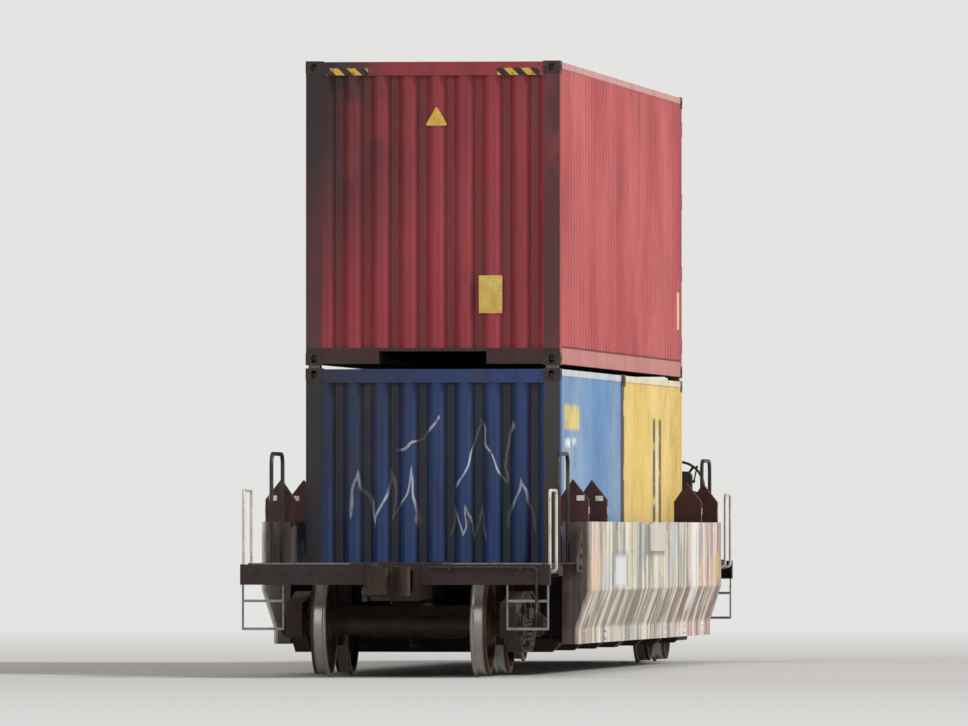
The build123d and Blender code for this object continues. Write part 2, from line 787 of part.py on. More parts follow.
# Coupler body: shank with its eye, head, guard arm and the lugs that hold the knuckle pin
def coupler_body():
    face = pulling_face_x
    pin_x = face - knuckle_pin_back
    pin_y = -knuckle_pin_side
    shank_end_x = face - 300
    head_back_x = face - 400
    half_shank = shank_width / 2
    lug_z = knuckle_hub_half + 1
    with BuildPart() as result:
        with BuildSketch(plane_xy(coupler_z - shank_height / 2)):
            with Locations((coupler_pivot_x, 0)):
                Circle(coupler_eye_radius)
            with Locations(((coupler_pivot_x + shank_end_x) / 2, 0)):
                Rectangle(shank_end_x - coupler_pivot_x, shank_width)
            with Locations((coupler_pivot_x, 0)):
                Circle(coupler_pin_radius + running_fit, mode=Mode.SUBTRACT)
        extrude(amount=shank_height)
        with BuildSketch(plane_xy(coupler_z - head_height / 2)):
            with BuildLine():
                Polyline(
                    (head_back_x, -half_shank), (face - 330, -120), (face - 262, -196),
                    (face - 205, -204), (face - 205, -75), (face - 188, -50), (face - 188, 40),
                    (face - 150, 78), (face - 40, 112), (face + 60, 168),
                )
                ThreePointArc((face + 60, 168), (face + 72, 196), (face + 46, 212))
                Polyline(
                    (face + 46, 212), (face - 70, 206), (face - 230, 178), (face - 320, 120),
                    (head_back_x, half_shank), (head_back_x, -half_shank),
                )
            make_face()
        extrude(amount=head_height)
        for z in (coupler_z + lug_z, coupler_z - lug_z - lug_thickness):
            with BuildSketch(plane_xy(z)):
                with Locations((pin_x, pin_y)):
                    Circle(lug_radius)
                with BuildLine():
                    Polyline(
                        (pin_x - 100, pin_y - 62), (pin_x, pin_y - lug_radius),
                        (pin_x, pin_y + lug_radius), (pin_x - 100, pin_y + 70), close=True,
                    )
                make_face()
            extrude(amount=lug_thickness)
        with Locations((pin_x, pin_y, coupler_z)):
            Cylinder(knuckle_pin_radius, 2 * (lug_z + lug_thickness) + 24)
    return result.part


# Knuckle: hub on the pin, arm and hooked nose
def knuckle():
    face = pulling_face_x
    pin_x = face - knuckle_pin_back
    pin_y = -knuckle_pin_side
    with BuildPart() as result:
        with BuildSketch(plane_xy(coupler_z - knuckle_hub_half)):
            with Locations((pin_x, pin_y)):
                Circle(knuckle_hub_radius)
            with BuildLine():
                Polyline(
                    (pin_x - 20, pin_y - 52), (face - 20, -196), (face - 20, -110),
                    (pin_x + 40, pin_y + 40), close=True,
                )
            make_face()
            with Locations((pin_x, pin_y)):
                Circle(knuckle_pin_radius + running_fit, mode=Mode.SUBTRACT)
        extrude(amount=2 * knuckle_hub_half)
        with BuildSketch(plane_xy(coupler_z - knuckle_height / 2)):
            with BuildLine():
                Polyline((face - 48, -196), (face - 20, -190))
                ThreePointArc((face - 20, -190), (face - 2, -110), (face, -30))
                ThreePointArc((face, -30), (face - 26, 4), (face - 62, -14))
                Polyline((face - 62, -14), (face - 48, -90), (face - 48, -196))
            make_face()
        extrude(amount=knuckle_height)
    return result.part


# Angle cocks: the brake pipe's end on the draft sill, with its clamps, elbow and handle
def angle_cock():
    pipe_radius = 21
    pipe_y = -(sill_width / 2 + 72)
    pipe_z = sill_bottom_z + 70
    pipe_in_x = striker_x - 700
    pipe_out_x = striker_x + 110
    body_x = pipe_out_x - 20
    with BuildPart() as result:
        with Locations(Location(((pipe_in_x + pipe_out_x) / 2, pipe_y, pipe_z), (0, 90, 0))):
            Cylinder(pipe_radius, pipe_out_x - pipe_in_x)
        for clamp_x in (pipe_in_x + 60, striker_x - end_sill_length - 60):
            with Locations((clamp_x, (pipe_y - sill_width / 2) / 2 - 7, pipe_z)):
                Box(50, -pipe_y - sill_width / 2 + 14, 60)
        with Locations(Location((body_x, pipe_y, pipe_z), (0, 90, 0))):
            Cylinder(36, 96)
        with Locations((body_x, pipe_y, pipe_z + 6)):
            Cylinder(32, 88)
        with Locations(Location((body_x + 40, pipe_y, pipe_z - 34), (0, 130, 0))):
            Cylinder(27, 100)
        with Locations((body_x, pipe_y, pipe_z + 60)):
            Cylinder(14, 30)
        with Locations((body_x + 30, pipe_y, pipe_z + 74)):
            Box(110, 26, 12)
    return result.part


# Container pieces, built in place from the middle of the box, its base and its size
def casting_spots(x, base, length, height):
    half_x = length / 2 - casting_length / 2
    half_y = half_box - casting_width / 2
    low = base + casting_height / 2
    high = base + height - casting_height / 2
    return [(x + sx * half_x, sy * half_y, z) for sx in (-1, 1) for sy in (-1, 1) for z in (low, high)]


def casting_hole(plane, length, width):
    """Cuts one rounded hole of a casting, inwards from its plane."""
    with BuildSketch(plane) as hole:
        SlotOverall(length, width)
    extrude(hole.sketch, amount=-casting_hole_depth, mode=Mode.SUBTRACT)


def end_castings(x, base, length, height, way):
    """Adds the four corner castings of one end, each with its top or bottom, end and side hole."""
    spots = [s for s in casting_spots(x, base, length, height) if (s[0] - x) * way > 0]
    with Locations(*spots):
        Box(casting_length, casting_width, casting_height)
    for cx, cy, cz in spots:
        side = 1 if cy > 0 else -1
        level = 1 if cz > base + height / 2 else -1
        flat = (cx, cy, cz + level * casting_height / 2)
        casting_hole(Plane(origin=flat, x_dir=(1, 0, 0), z_dir=(0, 0, level)), 124, 64)
        end = (cx + way * casting_length / 2, cy, cz)
        casting_hole(Plane(origin=end, x_dir=(0, 0, 1), z_dir=(way, 0, 0)), 79, 55)
        flank = (cx, cy + side * casting_width / 2, cz)
        casting_hole(Plane(origin=flank, x_dir=(1, 0, 0), z_dir=(0, side, 0)), 79, 55)


def wave_points(start, count, pitch, depth, outer):
    """Corrugated line from start along the first axis: outer flat, slope, inner flat, slope."""
    points = []
    for i in range(count):
        a = start + i * pitch
        points += [
            (a, outer), (a + 0.26 * pitch, outer),
            (a + 0.5 * pitch, outer - depth), (a + 0.76 * pitch, outer - depth),
        ]
    points.append((start + count * pitch, outer))
    return points


def front_end(x, base, length, height, way, tunnel):
    """Blind end: two posts, header, sill, castings and the corrugated wall."""
    face = x + way * (length / 2 - end_recess)
    depth = casting_length - end_recess
    middle_x = face - way * depth / 2
    low = base + casting_proud
    high = base + height - header_inset
    span = box_width - 2 * post_size
    with BuildPart() as result:
        for side in (-1, 1):
            with Locations((middle_x, side * (half_box - frame_inset - post_size / 2), (low + high) / 2)):
                Box(depth, post_size, high - low)
        with Locations((middle_x, 0, high - header_height / 2)):
            Box(depth, span, header_height)
        with Locations((middle_x, 0, low + sill_height / 2)):
            Box(depth, span, sill_height)
        if tunnel:
            with Locations((middle_x, 0, low + tunnel_height / 2)):
                Box(depth + 2, tunnel_width, tunnel_height, mode=Mode.SUBTRACT)
        end_castings(x, base, length, height, way)
        count = int(span / end_wave)
        line = wave_points(-span / 2, count, span / count, end_wave_depth, 0)
        outer = [(face - way * 12 + way * d, y) for y, d in line]
        inner = [(px - way * sheet, y) for px, y in reversed(outer)]
        with BuildSketch(plane_xy(low + sill_height - 2)):
            with BuildLine():
                Polyline(*outer, *inner, close=True)
            make_face()
        extrude(amount=high - header_height - low - sill_height + 4)
    return result.part


def hinge_levels(base, height):
    step = (height - 2 * hinge_end_distance) / (hinge_count - 1)
    return [base + hinge_end_distance + i * step for i in range(hinge_count)]


def lock_rod_spots():
    """Distances of a leaf's two lock rods from the middle of the box."""
    return [door_edge_y - share * door_width for share in lock_rod_shares]


def rear_frame(x, base, length, height, way):
    """Door end: J-shaped posts, header, sill, castings, rod keepers and the hinge lugs with their pins."""
    face = x + way * length / 2
    low = base + casting_proud
    high = base + height - header_inset
    post_out_x = face - way * (hinge_inset_x + 22)
    post_in_x = face - way * rear_post_depth
    lip_x = face - way * (door_recess + door_thickness + 10)
    skin_y = half_box - frame_inset
    inner_y = skin_y - rear_post_skin
    lip_y = half_box - rear_post_lip
    bar_out_x = face - way * 40
    bar_depth = rear_post_depth - 40
    keeper = 22
    with BuildPart() as result:
        for side in (-1, 1):
            with BuildSketch(plane_xy(low)):
                with BuildLine():
                    Polyline(
                        (post_out_x, side * skin_y), (post_in_x, side * skin_y), (post_in_x, side * lip_y),
                        (lip_x, side * lip_y), (lip_x, side * inner_y), (post_out_x, side * inner_y),
                        close=True,
                    )
                make_face()
            extrude(amount=high - low)
        header_bottom_z = high - header_height
        sill_top = low + sill_height
        for z, depth in (((header_bottom_z + high) / 2, header_height), ((low + sill_top) / 2, sill_height)):
            with Locations((bar_out_x - way * bar_depth / 2, 0, z)):
                Box(bar_depth, 2 * lip_y, depth)
        for z in (header_bottom_z + 36, sill_top - 36):
            for rod_y in lock_rod_spots():
                for y in (-rod_y - 34, -rod_y + 34, rod_y - 34, rod_y + 34):
                    with Locations((bar_out_x + way * 13, y, z)):
                        Box(30, keeper, 2 * keeper)
        end_castings(x, base, length, height, way)
        pin_x = face - way * hinge_inset_x
        lug_z = hinge_height / 2 + 3
        for side in (-1, 1):
            pin_y = side * (half_box - hinge_inset_y)
            for z in hinge_levels(base, height):
                for lug_bottom_z in (z + lug_z, z - lug_z - 28):
                    with BuildSketch(plane_xy(lug_bottom_z)):
                        with Locations((pin_x, pin_y)):
                            Circle(hinge_eye_radius)
                        with Locations((pin_x - way * 22, pin_y + side * 3)):
                            Rectangle(44, 14)
                    extrude(amount=28)
                with Locations((pin_x, pin_y, z)):
                    Cylinder(hinge_pin_radius, hinge_height + 50)
    return result.part


def between_ends(x, length, way):
    """Middle and length of what spans from the front end to the rear frame."""
    return x + way * (rear_post_depth - casting_length) / 2, length - casting_length - rear_post_depth


def container_sides(x, base, length, height, way, pockets):
    """Both side walls, each with its top rail, its bottom rail and, on a short box, two fork pockets."""
    mid, span = between_ends(x, length, way)
    low = base + casting_proud
    high = base + height - header_inset
    count = round(span / wall_wave)
    line = wave_points(mid - span / 2, count, span / count, wall_wave_depth, half_box - 8)
    with BuildPart() as result:
        for side in (-1, 1):
            rail_y = side * (half_box - frame_inset - top_rail_depth / 2)
            with Locations((mid, rail_y, high - top_rail_height / 2)):
                Box(span, top_rail_depth, top_rail_height)
            with Locations((mid, rail_y, low + bottom_rail_height / 2)):
                Box(span, bottom_rail_depth, bottom_rail_height)
            if pockets:
                with Locations((x, rail_y, low + 8 + fork_pocket_height / 2)):
                    with GridLocations(fork_pocket_spacing, 0, 2, 1):
                        Box(
                            fork_pocket_width, bottom_rail_depth + 2, fork_pocket_height,
                            mode=Mode.SUBTRACT,
                        )
            outer = [(px, side * py) for px, py in line]
            inner = [(px, py - side * sheet) for px, py in reversed(outer)]
            with BuildSketch(plane_xy(low + bottom_rail_height - 2)):
                with BuildLine():
                    Polyline(*outer, *inner, close=True)
                make_face()
            extrude(amount=high - top_rail_height - low - bottom_rail_height + 4)
    return result.part


def container_roof(x, base, length, height, way):
    """Die-stamped roof: transverse waves inside a flat border."""
    mid, span = between_ends(x, length, way)
    top = base + height - header_inset - 2
    width = box_width - 2 * (frame_inset + top_rail_depth)
    wave_span = span - 2 * roof_border
    count = round(wave_span / roof_wave)
    line = wave_points(mid - wave_span / 2, count, wave_span / count, roof_wave_depth, top)
    outer = [(mid - span / 2, top), *line, (mid + span / 2, top)]
    inner = [(px, pz - sheet) for px, pz in reversed(outer)]
    with BuildPart() as result:
        with BuildSketch(plane_xz(width / 2)):
            with BuildLine():
                Polyline(*outer, *inner, close=True)
            make_face()
        extrude(amount=width)
    return result.part


def container_floor(x, base, length, way, tunnel):
    """Timber deck on cross members, with the gooseneck tunnel of the long box or two fork pockets."""
    mid, span = between_ends(x, length, way)
    width = box_width - 2 * (frame_inset + bottom_rail_depth)
    deck_bottom = base + casting_proud + cross_member_depth + 5
    member_z = deck_bottom - cross_member_depth / 2
    with BuildPart() as result:
        with Locations((mid, 0, deck_bottom + floor_thickness / 2)):
            Box(span, width, floor_thickness)
        count = int(span / cross_member_pitch)
        for i in range(count):
            beam_x = mid - span / 2 + (i + 0.5) * span / count
            with Locations((beam_x, 0, member_z)):
                Box(cross_member_width, width, cross_member_depth)
        if tunnel:
            tunnel_x = mid + way * (span - tunnel_length) / 2
            with Locations((tunnel_x, 0, member_z - 1)):
                Box(tunnel_length + 1, tunnel_width, cross_member_depth + 2, mode=Mode.SUBTRACT)
            for side in (-1, 1):
                with Locations((tunnel_x, side * (tunnel_width / 2 + 5), member_z + 2)):
                    Box(tunnel_length, 10, cross_member_depth - 4)
        else:
            with Locations((x, 0, member_z - 1)):
                with GridLocations(fork_pocket_spacing, 0, 2, 1):
                    Box(fork_pocket_width, width + 2, cross_member_depth + 2, mode=Mode.SUBTRACT)
            for pocket in (-1, 1):
                for edge in (-1, 1):
                    wall_x = x + pocket * fork_pocket_spacing / 2 + edge * (fork_pocket_width / 2 + 4)
                    with Locations((wall_x, 0, member_z + 2)):
                        Box(8, width, cross_member_depth - 4)
    return result.part


def door_leaf(x, base, length, height, way, side):
    """One door leaf: frame, pressed panel, two lock rods with brackets and handles, and hinge blades."""
    face = x + way * length / 2
    low = base + casting_proud + sill_height + door_edge_gap
    high = base + height - header_inset - header_height - door_edge_gap
    outer_x = face - way * door_recess
    inner_x = outer_x - way * door_thickness
    mid_y = side * (door_edge_y + door_free_y) / 2
    mid_z = (low + high) / 2
    rim = 1.5 * door_frame
    with BuildPart() as result:
        with Locations(((outer_x + inner_x) / 2, mid_y, mid_z)):
            Box(door_thickness, door_width, high - low)
            Box(door_thickness + 2, door_width - 2 * door_frame, high - low - 2 * rim, mode=Mode.SUBTRACT)
        panel_width = door_width - 2 * door_frame + 4
        panel_height = high - low - 2 * rim + 4
        pitch = panel_height / door_panel_waves
        line = wave_points(mid_z - panel_height / 2, door_panel_waves, pitch, door_wave_depth, 0)
        outer = [(outer_x - way * 6 + way * d, z) for z, d in line]
        inner = [(px - way * sheet, z) for px, z in reversed(outer)]
        with BuildSketch(plane_xz(mid_y + panel_width / 2)):
            with BuildLine():
                Polyline(*outer, *inner, close=True)
            make_face()
        extrude(amount=panel_width)
        rod_x = outer_x + way * (lock_rod_radius + lock_rod_gap)
        for rod_y, turn in zip(lock_rod_spots(), (-1, 1)):
            with Locations((rod_x, side * rod_y, mid_z)):
                Cylinder(lock_rod_radius, high - low - 16)
            for z in (low + 60, low + 700, mid_z + 160, high - 700, high - 60):
                with Locations(((rod_x + outer_x) / 2 - way * 2, side * rod_y, z)):
                    Box(lock_rod_radius + lock_rod_gap + 18, 70, 50)
            handle_y = side * (rod_y + turn * handle_length / 2)
            with Locations((rod_x + way * 8, handle_y, low + handle_height + turn * 40)):
                Box(12, handle_length, 34)
        pin_x = face - way * hinge_inset_x
        pin_y = side * (half_box - hinge_inset_y)
        for z in hinge_levels(base, height):
            with BuildSketch(plane_xy(z - hinge_height / 2)):
                with Locations((pin_x, pin_y)):
                    Circle(hinge_eye_radius)
                with BuildLine():
                    Polyline(
                        (pin_x + way * 2, pin_y - side * 12), (pin_x - way * 10, pin_y - side * 6),
                        (outer_x - way, side * (door_edge_y - 2)),
                        (outer_x - way, side * (door_edge_y - 120)),
                        (outer_x + way * 10, side * (door_edge_y - 120)),
                        (outer_x + way * 12, side * (door_edge_y - 16)), close=True,
                    )
                make_face()
                with Locations((pin_x, pin_y)):
                    Circle(hinge_pin_radius + running_fit, mode=Mode.SUBTRACT)
            extrude(amount=hinge_height)
    return result.part


# Stack fittings between the lower boxes and the long box
def stack_cones():
    spacing_x = long_length - casting_length
    spacing_y = box_width - casting_width
    low_z = well_floor_z + low_height
    with BuildPart() as result:
        with Locations((0, 0, low_z + stack_gap / 2)):
            with GridLocations(spacing_x, spacing_y, 2, 2):
                Box(160, 110, stack_gap)
                Cylinder(24, stack_gap + 60)
        with BuildSketch(plane_xy(low_z - 8)):
            with GridLocations(spacing_x, spacing_y, 2, 2):
                SlotOverall(108, 52)
        extrude(amount=stack_gap + 16)
    return result.part


# Handrails of round bar: loops that stand on the deck, and side grabs on the platform's edge beam
def bar_path(points, radius, bend):
    """Adds a round bar along straight runs with tangent bends."""
    with BuildLine() as path:
        FilletPolyline(*points, radius=bend)
    with BuildSketch(Plane(origin=path.line @ 0, z_dir=path.line % 0)) as section:
        Circle(radius)
    sweep(section.sketch, path=path.line)


def loop_rail(side):
    y = side * loop_rail_y
    foot = 8
    with BuildPart() as result:
        bar_path(
            [
                (loop_rail_in_x, y, deck_z), (loop_rail_in_x, y, loop_rail_top_z),
                (loop_rail_out_x, y, loop_rail_top_z), (loop_rail_out_x, y, deck_z),
            ],
            rail_bar_radius, 110,
        )
        with Locations((loop_rail_in_x, y, deck_z + foot / 2), (loop_rail_out_x, y, deck_z + foot / 2)):
            Box(90, 60, foot)
    return result.part


def side_grab(side):
    beam_y = side * body_bolster_length / 2
    bar_y = beam_y + side * side_grab_stand_off
    foot_z = deck_z - edge_beam_depth + 24
    with BuildPart() as result:
        bar_path(
            [
                (side_grab_in_x, beam_y, foot_z), (side_grab_in_x, bar_y, foot_z),
                (side_grab_in_x, bar_y, side_grab_top_z), (side_grab_out_x, bar_y, side_grab_top_z),
                (side_grab_out_x, bar_y, foot_z), (side_grab_out_x, beam_y, foot_z),
            ],
            grab_bar_radius, 40,
        )
    return result.part


# Corner steps below the end sill: two treads hung from flat bars
def corner_step(side):
    x = striker_x - end_sill_length / 2
    top_z = sill_top_z - end_sill_depth
    foot_z = rail_z + step_drop
    outer_y = side * (end_sill_width / 2 - 20)
    inner_y = outer_y - side * step_run
    with BuildPart() as result:
        for y in (outer_y, inner_y):
            with Locations((x, y, (top_z + foot_z) / 2)):
                Box(60, 12, top_z - foot_z)
        for z in step_levels:
            with Locations((x, (outer_y + inner_y) / 2, z)):
                Box(100, step_run - 12, 24)
                Box(70, step_run - 60, 26, mode=Mode.SUBTRACT)
            for strip in (-1, 1):
                with Locations((x + strip * 12, (outer_y + inner_y) / 2, z)):
                    Box(8, step_run - 40, 20)
    return result.part


# Walkway gratings between the body bolster, the end sill and the edge beams
def walkway(side):
    in_x = truck_x + body_bolster_width / 2
    out_x = striker_x - end_sill_length
    in_y = platform_inner_y + walkway_gap
    out_y = body_bolster_length / 2 - edge_beam_sheet - walkway_gap
    cell_x = (out_x - in_x) / 5
    cell_y = (out_y - in_y) / 4
    bar = 26
    with BuildPart() as result:
        with Locations(((in_x + out_x) / 2, side * (in_y + out_y) / 2, deck_z - walkway_height / 2)):
            Box(out_x - in_x, out_y - in_y, walkway_height)
            with GridLocations(cell_x, cell_y, 5, 4):
                Box(cell_x - bar, cell_y - bar, walkway_height + 2, mode=Mode.SUBTRACT)
    return result.part


# Hand brake: wheel on a gear housing, on a stand bolted to the deck
def hand_brake():
    x = -8300
    y = 950
    hub_z = deck_z + 760
    housing_width = 300
    housing_height = 330
    housing_depth = 130
    wheel_radius = 265
    stand_x = x - 45
    wheel_x = x - 190
    with BuildPart() as result:
        with BuildSketch(plane_xy(deck_z)):
            with Locations((x, y)):
                Rectangle(90, 160)
            with Locations((x + 12, y)):
                Rectangle(90, 136, mode=Mode.SUBTRACT)
        extrude(amount=hub_z - deck_z)
        with Locations((x, y, deck_z + 6)):
            Box(220, 260, 12)
        with BuildSketch(Plane(origin=(stand_x + 5, y, hub_z), x_dir=(0, 1, 0), z_dir=(-1, 0, 0))):
            RectangleRounded(housing_width, housing_height, 60)
        extrude(amount=housing_depth)
        with Locations(Location((wheel_x, y, hub_z), (0, 90, 0))):
            Cylinder(22, 110)
            Cylinder(52, 30)
            Torus(wheel_radius, 14)
            with PolarLocations(0, 5):
                Box(wheel_radius, 26, 14, align=(Align.MIN, Align.CENTER, Align.CENTER))
    return result.part


# Air brake pieces on the rear deck
def reservoir():
    x = -7050
    radius = 200
    out_y = -1080
    in_y = -240
    dome = 90
    axis_z = deck_z + radius + 40
    with BuildPart() as result:
        with BuildSketch(Plane(origin=(x, 0, axis_z), x_dir=(0, 1, 0), z_dir=(1, 0, 0))):
            with BuildLine():
                Polyline((out_y, 0), (out_y, radius - dome))
                ThreePointArc((out_y, radius - dome), (out_y + 30, radius - 25), (out_y + dome, radius))
                Polyline((out_y + dome, radius), (in_y - dome, radius))
                ThreePointArc((in_y - dome, radius), (in_y - 30, radius - 25), (in_y, radius - dome))
                Polyline((in_y, radius - dome), (in_y, 0), (out_y, 0))
            make_face()
        revolve(axis=Axis((x, 0, axis_z), (0, 1, 0)))
        for y in (out_y + 160, in_y - 160):
            with Locations((x, y, deck_z + 70)):
                Box(260, 40, 140)
            with Locations(Location((x, y, axis_z), (90, 0, 0))):
                Cylinder(radius + 8, 40)
    return result.part


def brake_cylinder():
    x = -7050
    y = 620
    radius = 135
    length = 420
    axis_z = deck_z + 175
    rod_length = 200
    front_y = y - length / 2
    with BuildPart() as result:
        with Locations(Location((x, y, axis_z), (90, 0, 0))):
            Cylinder(radius, length)
        with Locations(Location((x, front_y + 15, axis_z), (90, 0, 0))):
            Cylinder(radius + 24, 30)
        with Locations(Location((x, front_y - rod_length / 2 + 20, axis_z), (90, 0, 0))):
            Cylinder(28, rod_length)
        with Locations((x, front_y - rod_length + 20, axis_z)):
            Box(70, 90, 60)
            Box(26, 100, 62, mode=Mode.SUBTRACT)
        with Locations((x, y, deck_z + 50)):
            Box(220, 260, 100)
    return result.part


def control_valve():
    x = -7560
    y = -560
    body_height = 300
    body_width = 240
    portion_radius = 75
    portion_z = deck_z + 190
    with BuildPart() as result:
        with Locations((x, y, deck_z + body_height / 2)):
            Box(170, body_width, body_height)
        for side in (-1, 1):
            with Locations(Location((x, y + side * (body_width / 2 + 40), portion_z), (90, 0, 0))):
                Cylinder(portion_radius, 90)
            with Locations(Location((x, y + side * (body_width / 2 + 4), portion_z), (90, 0, 0))):
                Cylinder(portion_radius + 20, 20)
        with Locations((x, y, deck_z + 8)):
            Box(240, body_width + 60, 16)
    return result.part


# Uncoupling lever along the end sill, with its bent handle at the corner
def uncoupling_lever():
    x = striker_x + 40
    z = deck_z - 40
    in_y = 330
    out_y = end_sill_width / 2 - 120
    with BuildPart() as result:
        bar_path([(x, in_y, z), (x, out_y, z), (x, out_y, z - 330), (x + 60, out_y, z - 430)], 13, 40)
        for y in (in_y + 190, out_y - 150):
            with Locations((striker_x + 28, y, z)):
                Box(56, 30, 60)
    return result.part


# Running gear
for end, way in ends:
    x = way * truck_x
    save_all([side_frame(x, side) for _, side in hands], f"truck_{end}_side_frames")
    save(bolster(x), f"truck_{end}_bolster")
    save(springs(x), f"truck_{end}_springs")
    save(brake_beams(x), f"truck_{end}_brake_beams")
    for place, step in (("outer", 1), ("inner", -1)):
        wheel_x = x + way * step * half_truck
        save(axle(wheel_x), f"axle_{end}_{place}")
        save_all([wheel(wheel_x, side) for _, side in hands], f"wheels_{end}_{place}")

# Well and ends
for hand, side in hands:
    save(well_side(side), f"well_side_{hand}")
save(cross_bearers(), "cross_bearers")
save(bulkheads(), "bulkheads")
save(container_guides(), "container_guides")
for piece, name in ((end_frame(), "end_frame"), (coupler_body(), "coupler"), (knuckle(), "knuckle")):
    for end, way in ends:
        save(turned(piece, way), f"{name}_{end}")

# Fittings that each end has, made once for each corner or end and turned to the other end
rails = [make(side) for make in (loop_rail, side_grab) for _, side in hands]
fittings = (
    ("handrails", rails),
    ("corner_steps", [corner_step(side) for _, side in hands]),
    ("walkways", [walkway(side) for _, side in hands]),
    ("uncoupling_levers", [uncoupling_lever()]),
    ("angle_cocks", [angle_cock()]),
)
for name, pieces in fittings:
    save_all([turned(piece, way) for _, way in ends for piece in pieces], name)
save(hand_brake(), "hand_brake")
save(reservoir(), "air_reservoir")
save(brake_cylinder(), "brake_cylinder")
save(control_valve(), "control_valve")
save(stack_cones(), "stack_cones")

# Containers: the long one on top, two short ones door to door in the well
boxes = (
    ("red", 0, stack_z, long_length, high_height, 1),
    ("blue", short_x, well_floor_z, short_length, low_height, 1),
    ("yellow", -short_x, well_floor_z, short_length, low_height, -1),
)
for name, x, base, length, height, way in boxes:
    long_box = length == long_length
    save(front_end(x, base, length, height, way, long_box), f"{name}_front_end")
    save(rear_frame(x, base, length, height, -way), f"{name}_rear_frame")
    save(container_sides(x, base, length, height, way, not long_box), f"{name}_sides")
    save(container_roof(x, base, length, height, way), f"{name}_roof")
    save(container_floor(x, base, length, way, long_box), f"{name}_floor")
    leaves = [(hand, door_leaf(x, base, length, height, -way, side)) for hand, side in hands]
    if long_box:
        for hand, leaf in leaves:
            save(leaf, f"{name}_door_{hand}")
    else:
        save_all([leaf for _, leaf in leaves], f"{name}_doors")
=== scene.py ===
import math

import bmesh
import bpy
from mathutils import Matrix, Vector


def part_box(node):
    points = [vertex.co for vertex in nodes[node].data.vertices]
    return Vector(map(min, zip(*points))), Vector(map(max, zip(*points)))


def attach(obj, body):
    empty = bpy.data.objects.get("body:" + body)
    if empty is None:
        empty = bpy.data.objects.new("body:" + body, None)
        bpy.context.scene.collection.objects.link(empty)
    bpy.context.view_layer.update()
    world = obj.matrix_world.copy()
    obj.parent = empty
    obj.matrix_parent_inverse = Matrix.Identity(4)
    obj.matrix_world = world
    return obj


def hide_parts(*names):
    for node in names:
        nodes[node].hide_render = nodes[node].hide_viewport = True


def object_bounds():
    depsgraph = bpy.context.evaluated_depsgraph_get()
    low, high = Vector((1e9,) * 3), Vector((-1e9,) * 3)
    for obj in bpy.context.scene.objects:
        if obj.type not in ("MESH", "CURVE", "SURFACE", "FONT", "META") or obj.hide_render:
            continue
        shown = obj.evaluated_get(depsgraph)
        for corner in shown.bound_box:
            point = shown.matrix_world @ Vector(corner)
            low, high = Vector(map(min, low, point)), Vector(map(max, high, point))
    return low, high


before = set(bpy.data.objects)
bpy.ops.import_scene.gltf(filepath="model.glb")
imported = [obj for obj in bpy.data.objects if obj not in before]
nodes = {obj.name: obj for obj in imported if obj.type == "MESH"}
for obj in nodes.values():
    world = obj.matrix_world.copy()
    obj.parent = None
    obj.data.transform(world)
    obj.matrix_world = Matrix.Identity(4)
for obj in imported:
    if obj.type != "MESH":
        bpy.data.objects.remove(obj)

cad_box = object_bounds()

# Places that repeat the car's own sizes, in metres, or are read from its nodes
rail = 0.026
red_low, red_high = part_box("red_sides")
blue_low, blue_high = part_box("blue_sides")
_, side_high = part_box("well_side_left")
red_base = red_low[2] - 0.012
red_top = red_high[2] + 0.008
low_base = blue_low[2] - 0.012
low_top = blue_high[2] + 0.008
side_top = side_high[2]
side_y = 1.55
heel_y = 1.435
side_end_x = 6.652
knee_z = rail + 0.78
heel_z = rail + 0.42
deck_z = rail + 1.042
axle_z = rail + 0.457
coupler_z = rail + 0.876
truck_x = 7.65
half_truck = 0.889
bearing_y = 1.003
red_half = 6.096
short_middle = 3.067
short_half = 3.029
door_front_x = -(red_half - 0.066)
door_low = red_base + 0.170
door_high = red_top - 0.146
door_edge_y = 1.196
rod_places = (0.8628, 0.3154)
guide_places = (-6.56, -4.8, 4.8, 6.56)
ends = (("front", 1), ("rear", -1))


# Small helpers for colours and nodes
def linear(code):
    """sRGB hex to linear RGBA."""
    channels = [int(code[i:i + 2], 16) / 255 for i in (1, 3, 5)]
    return [c / 12.92 if c <= 0.04045 else ((c + 0.055) / 1.055) ** 2.4 for c in channels] + [1.0]


def put(tree, kind, *values, out=0, **settings):
    """Adds a shader node and gives one of its outputs. Its inputs take the values in order, or by name from a
    dictionary, and each is a number, a colour or another node's output."""
    made = tree.nodes.new("ShaderNode" + kind)
    for key, value in settings.items():
        setattr(made, key, value)
    by_name = values[0] if values and isinstance(values[0], dict) else dict(enumerate(values))
    for key, value in by_name.items():
        if isinstance(value, bpy.types.NodeSocket):
            tree.links.new(value, made.inputs[key])
        else:
            made.inputs[key].default_value = value
    return made.outputs[out]


def product(tree, *masks):
    """Masks and numbers multiplied together."""
    result = masks[0]
    for mask in masks[1:]:
        result = put(tree, "Math", result, mask, operation="MULTIPLY")
    return result


def lay(tree, under, top, *masks):
    """Lays one colour over another as far as all the masks let it; a colour is a hex code or an output."""
    cover = product(tree, *masks)
    # The mixing node's colours are its inputs 6 and 7 and its output 2
    first, second = (linear(c) if isinstance(c, str) else c for c in (under, top))
    return put(tree, "Mix", {0: cover, 6: first, 7: second}, out=2, data_type="RGBA")


def band(tree, value, low, high, soft=0.01):
    """1 where value lies between low and high, with soft edges."""
    rise = put(tree, "MapRange", value, low - soft, low + soft)
    return product(tree, rise, put(tree, "MapRange", value, high + soft, high - soft))


def patches(tree, colour, x, z, kept, places):
    """Lays blocks of tint on a colour: where each starts and ends, its heights, edge, strength and tint."""
    for start, end, bottom, top, soft, strength, tint in places:
        block = product(tree, band(tree, x, start, end, soft), band(tree, z, bottom, top, soft))
        colour = lay(tree, colour, tint, block, kept, strength)
    return colour


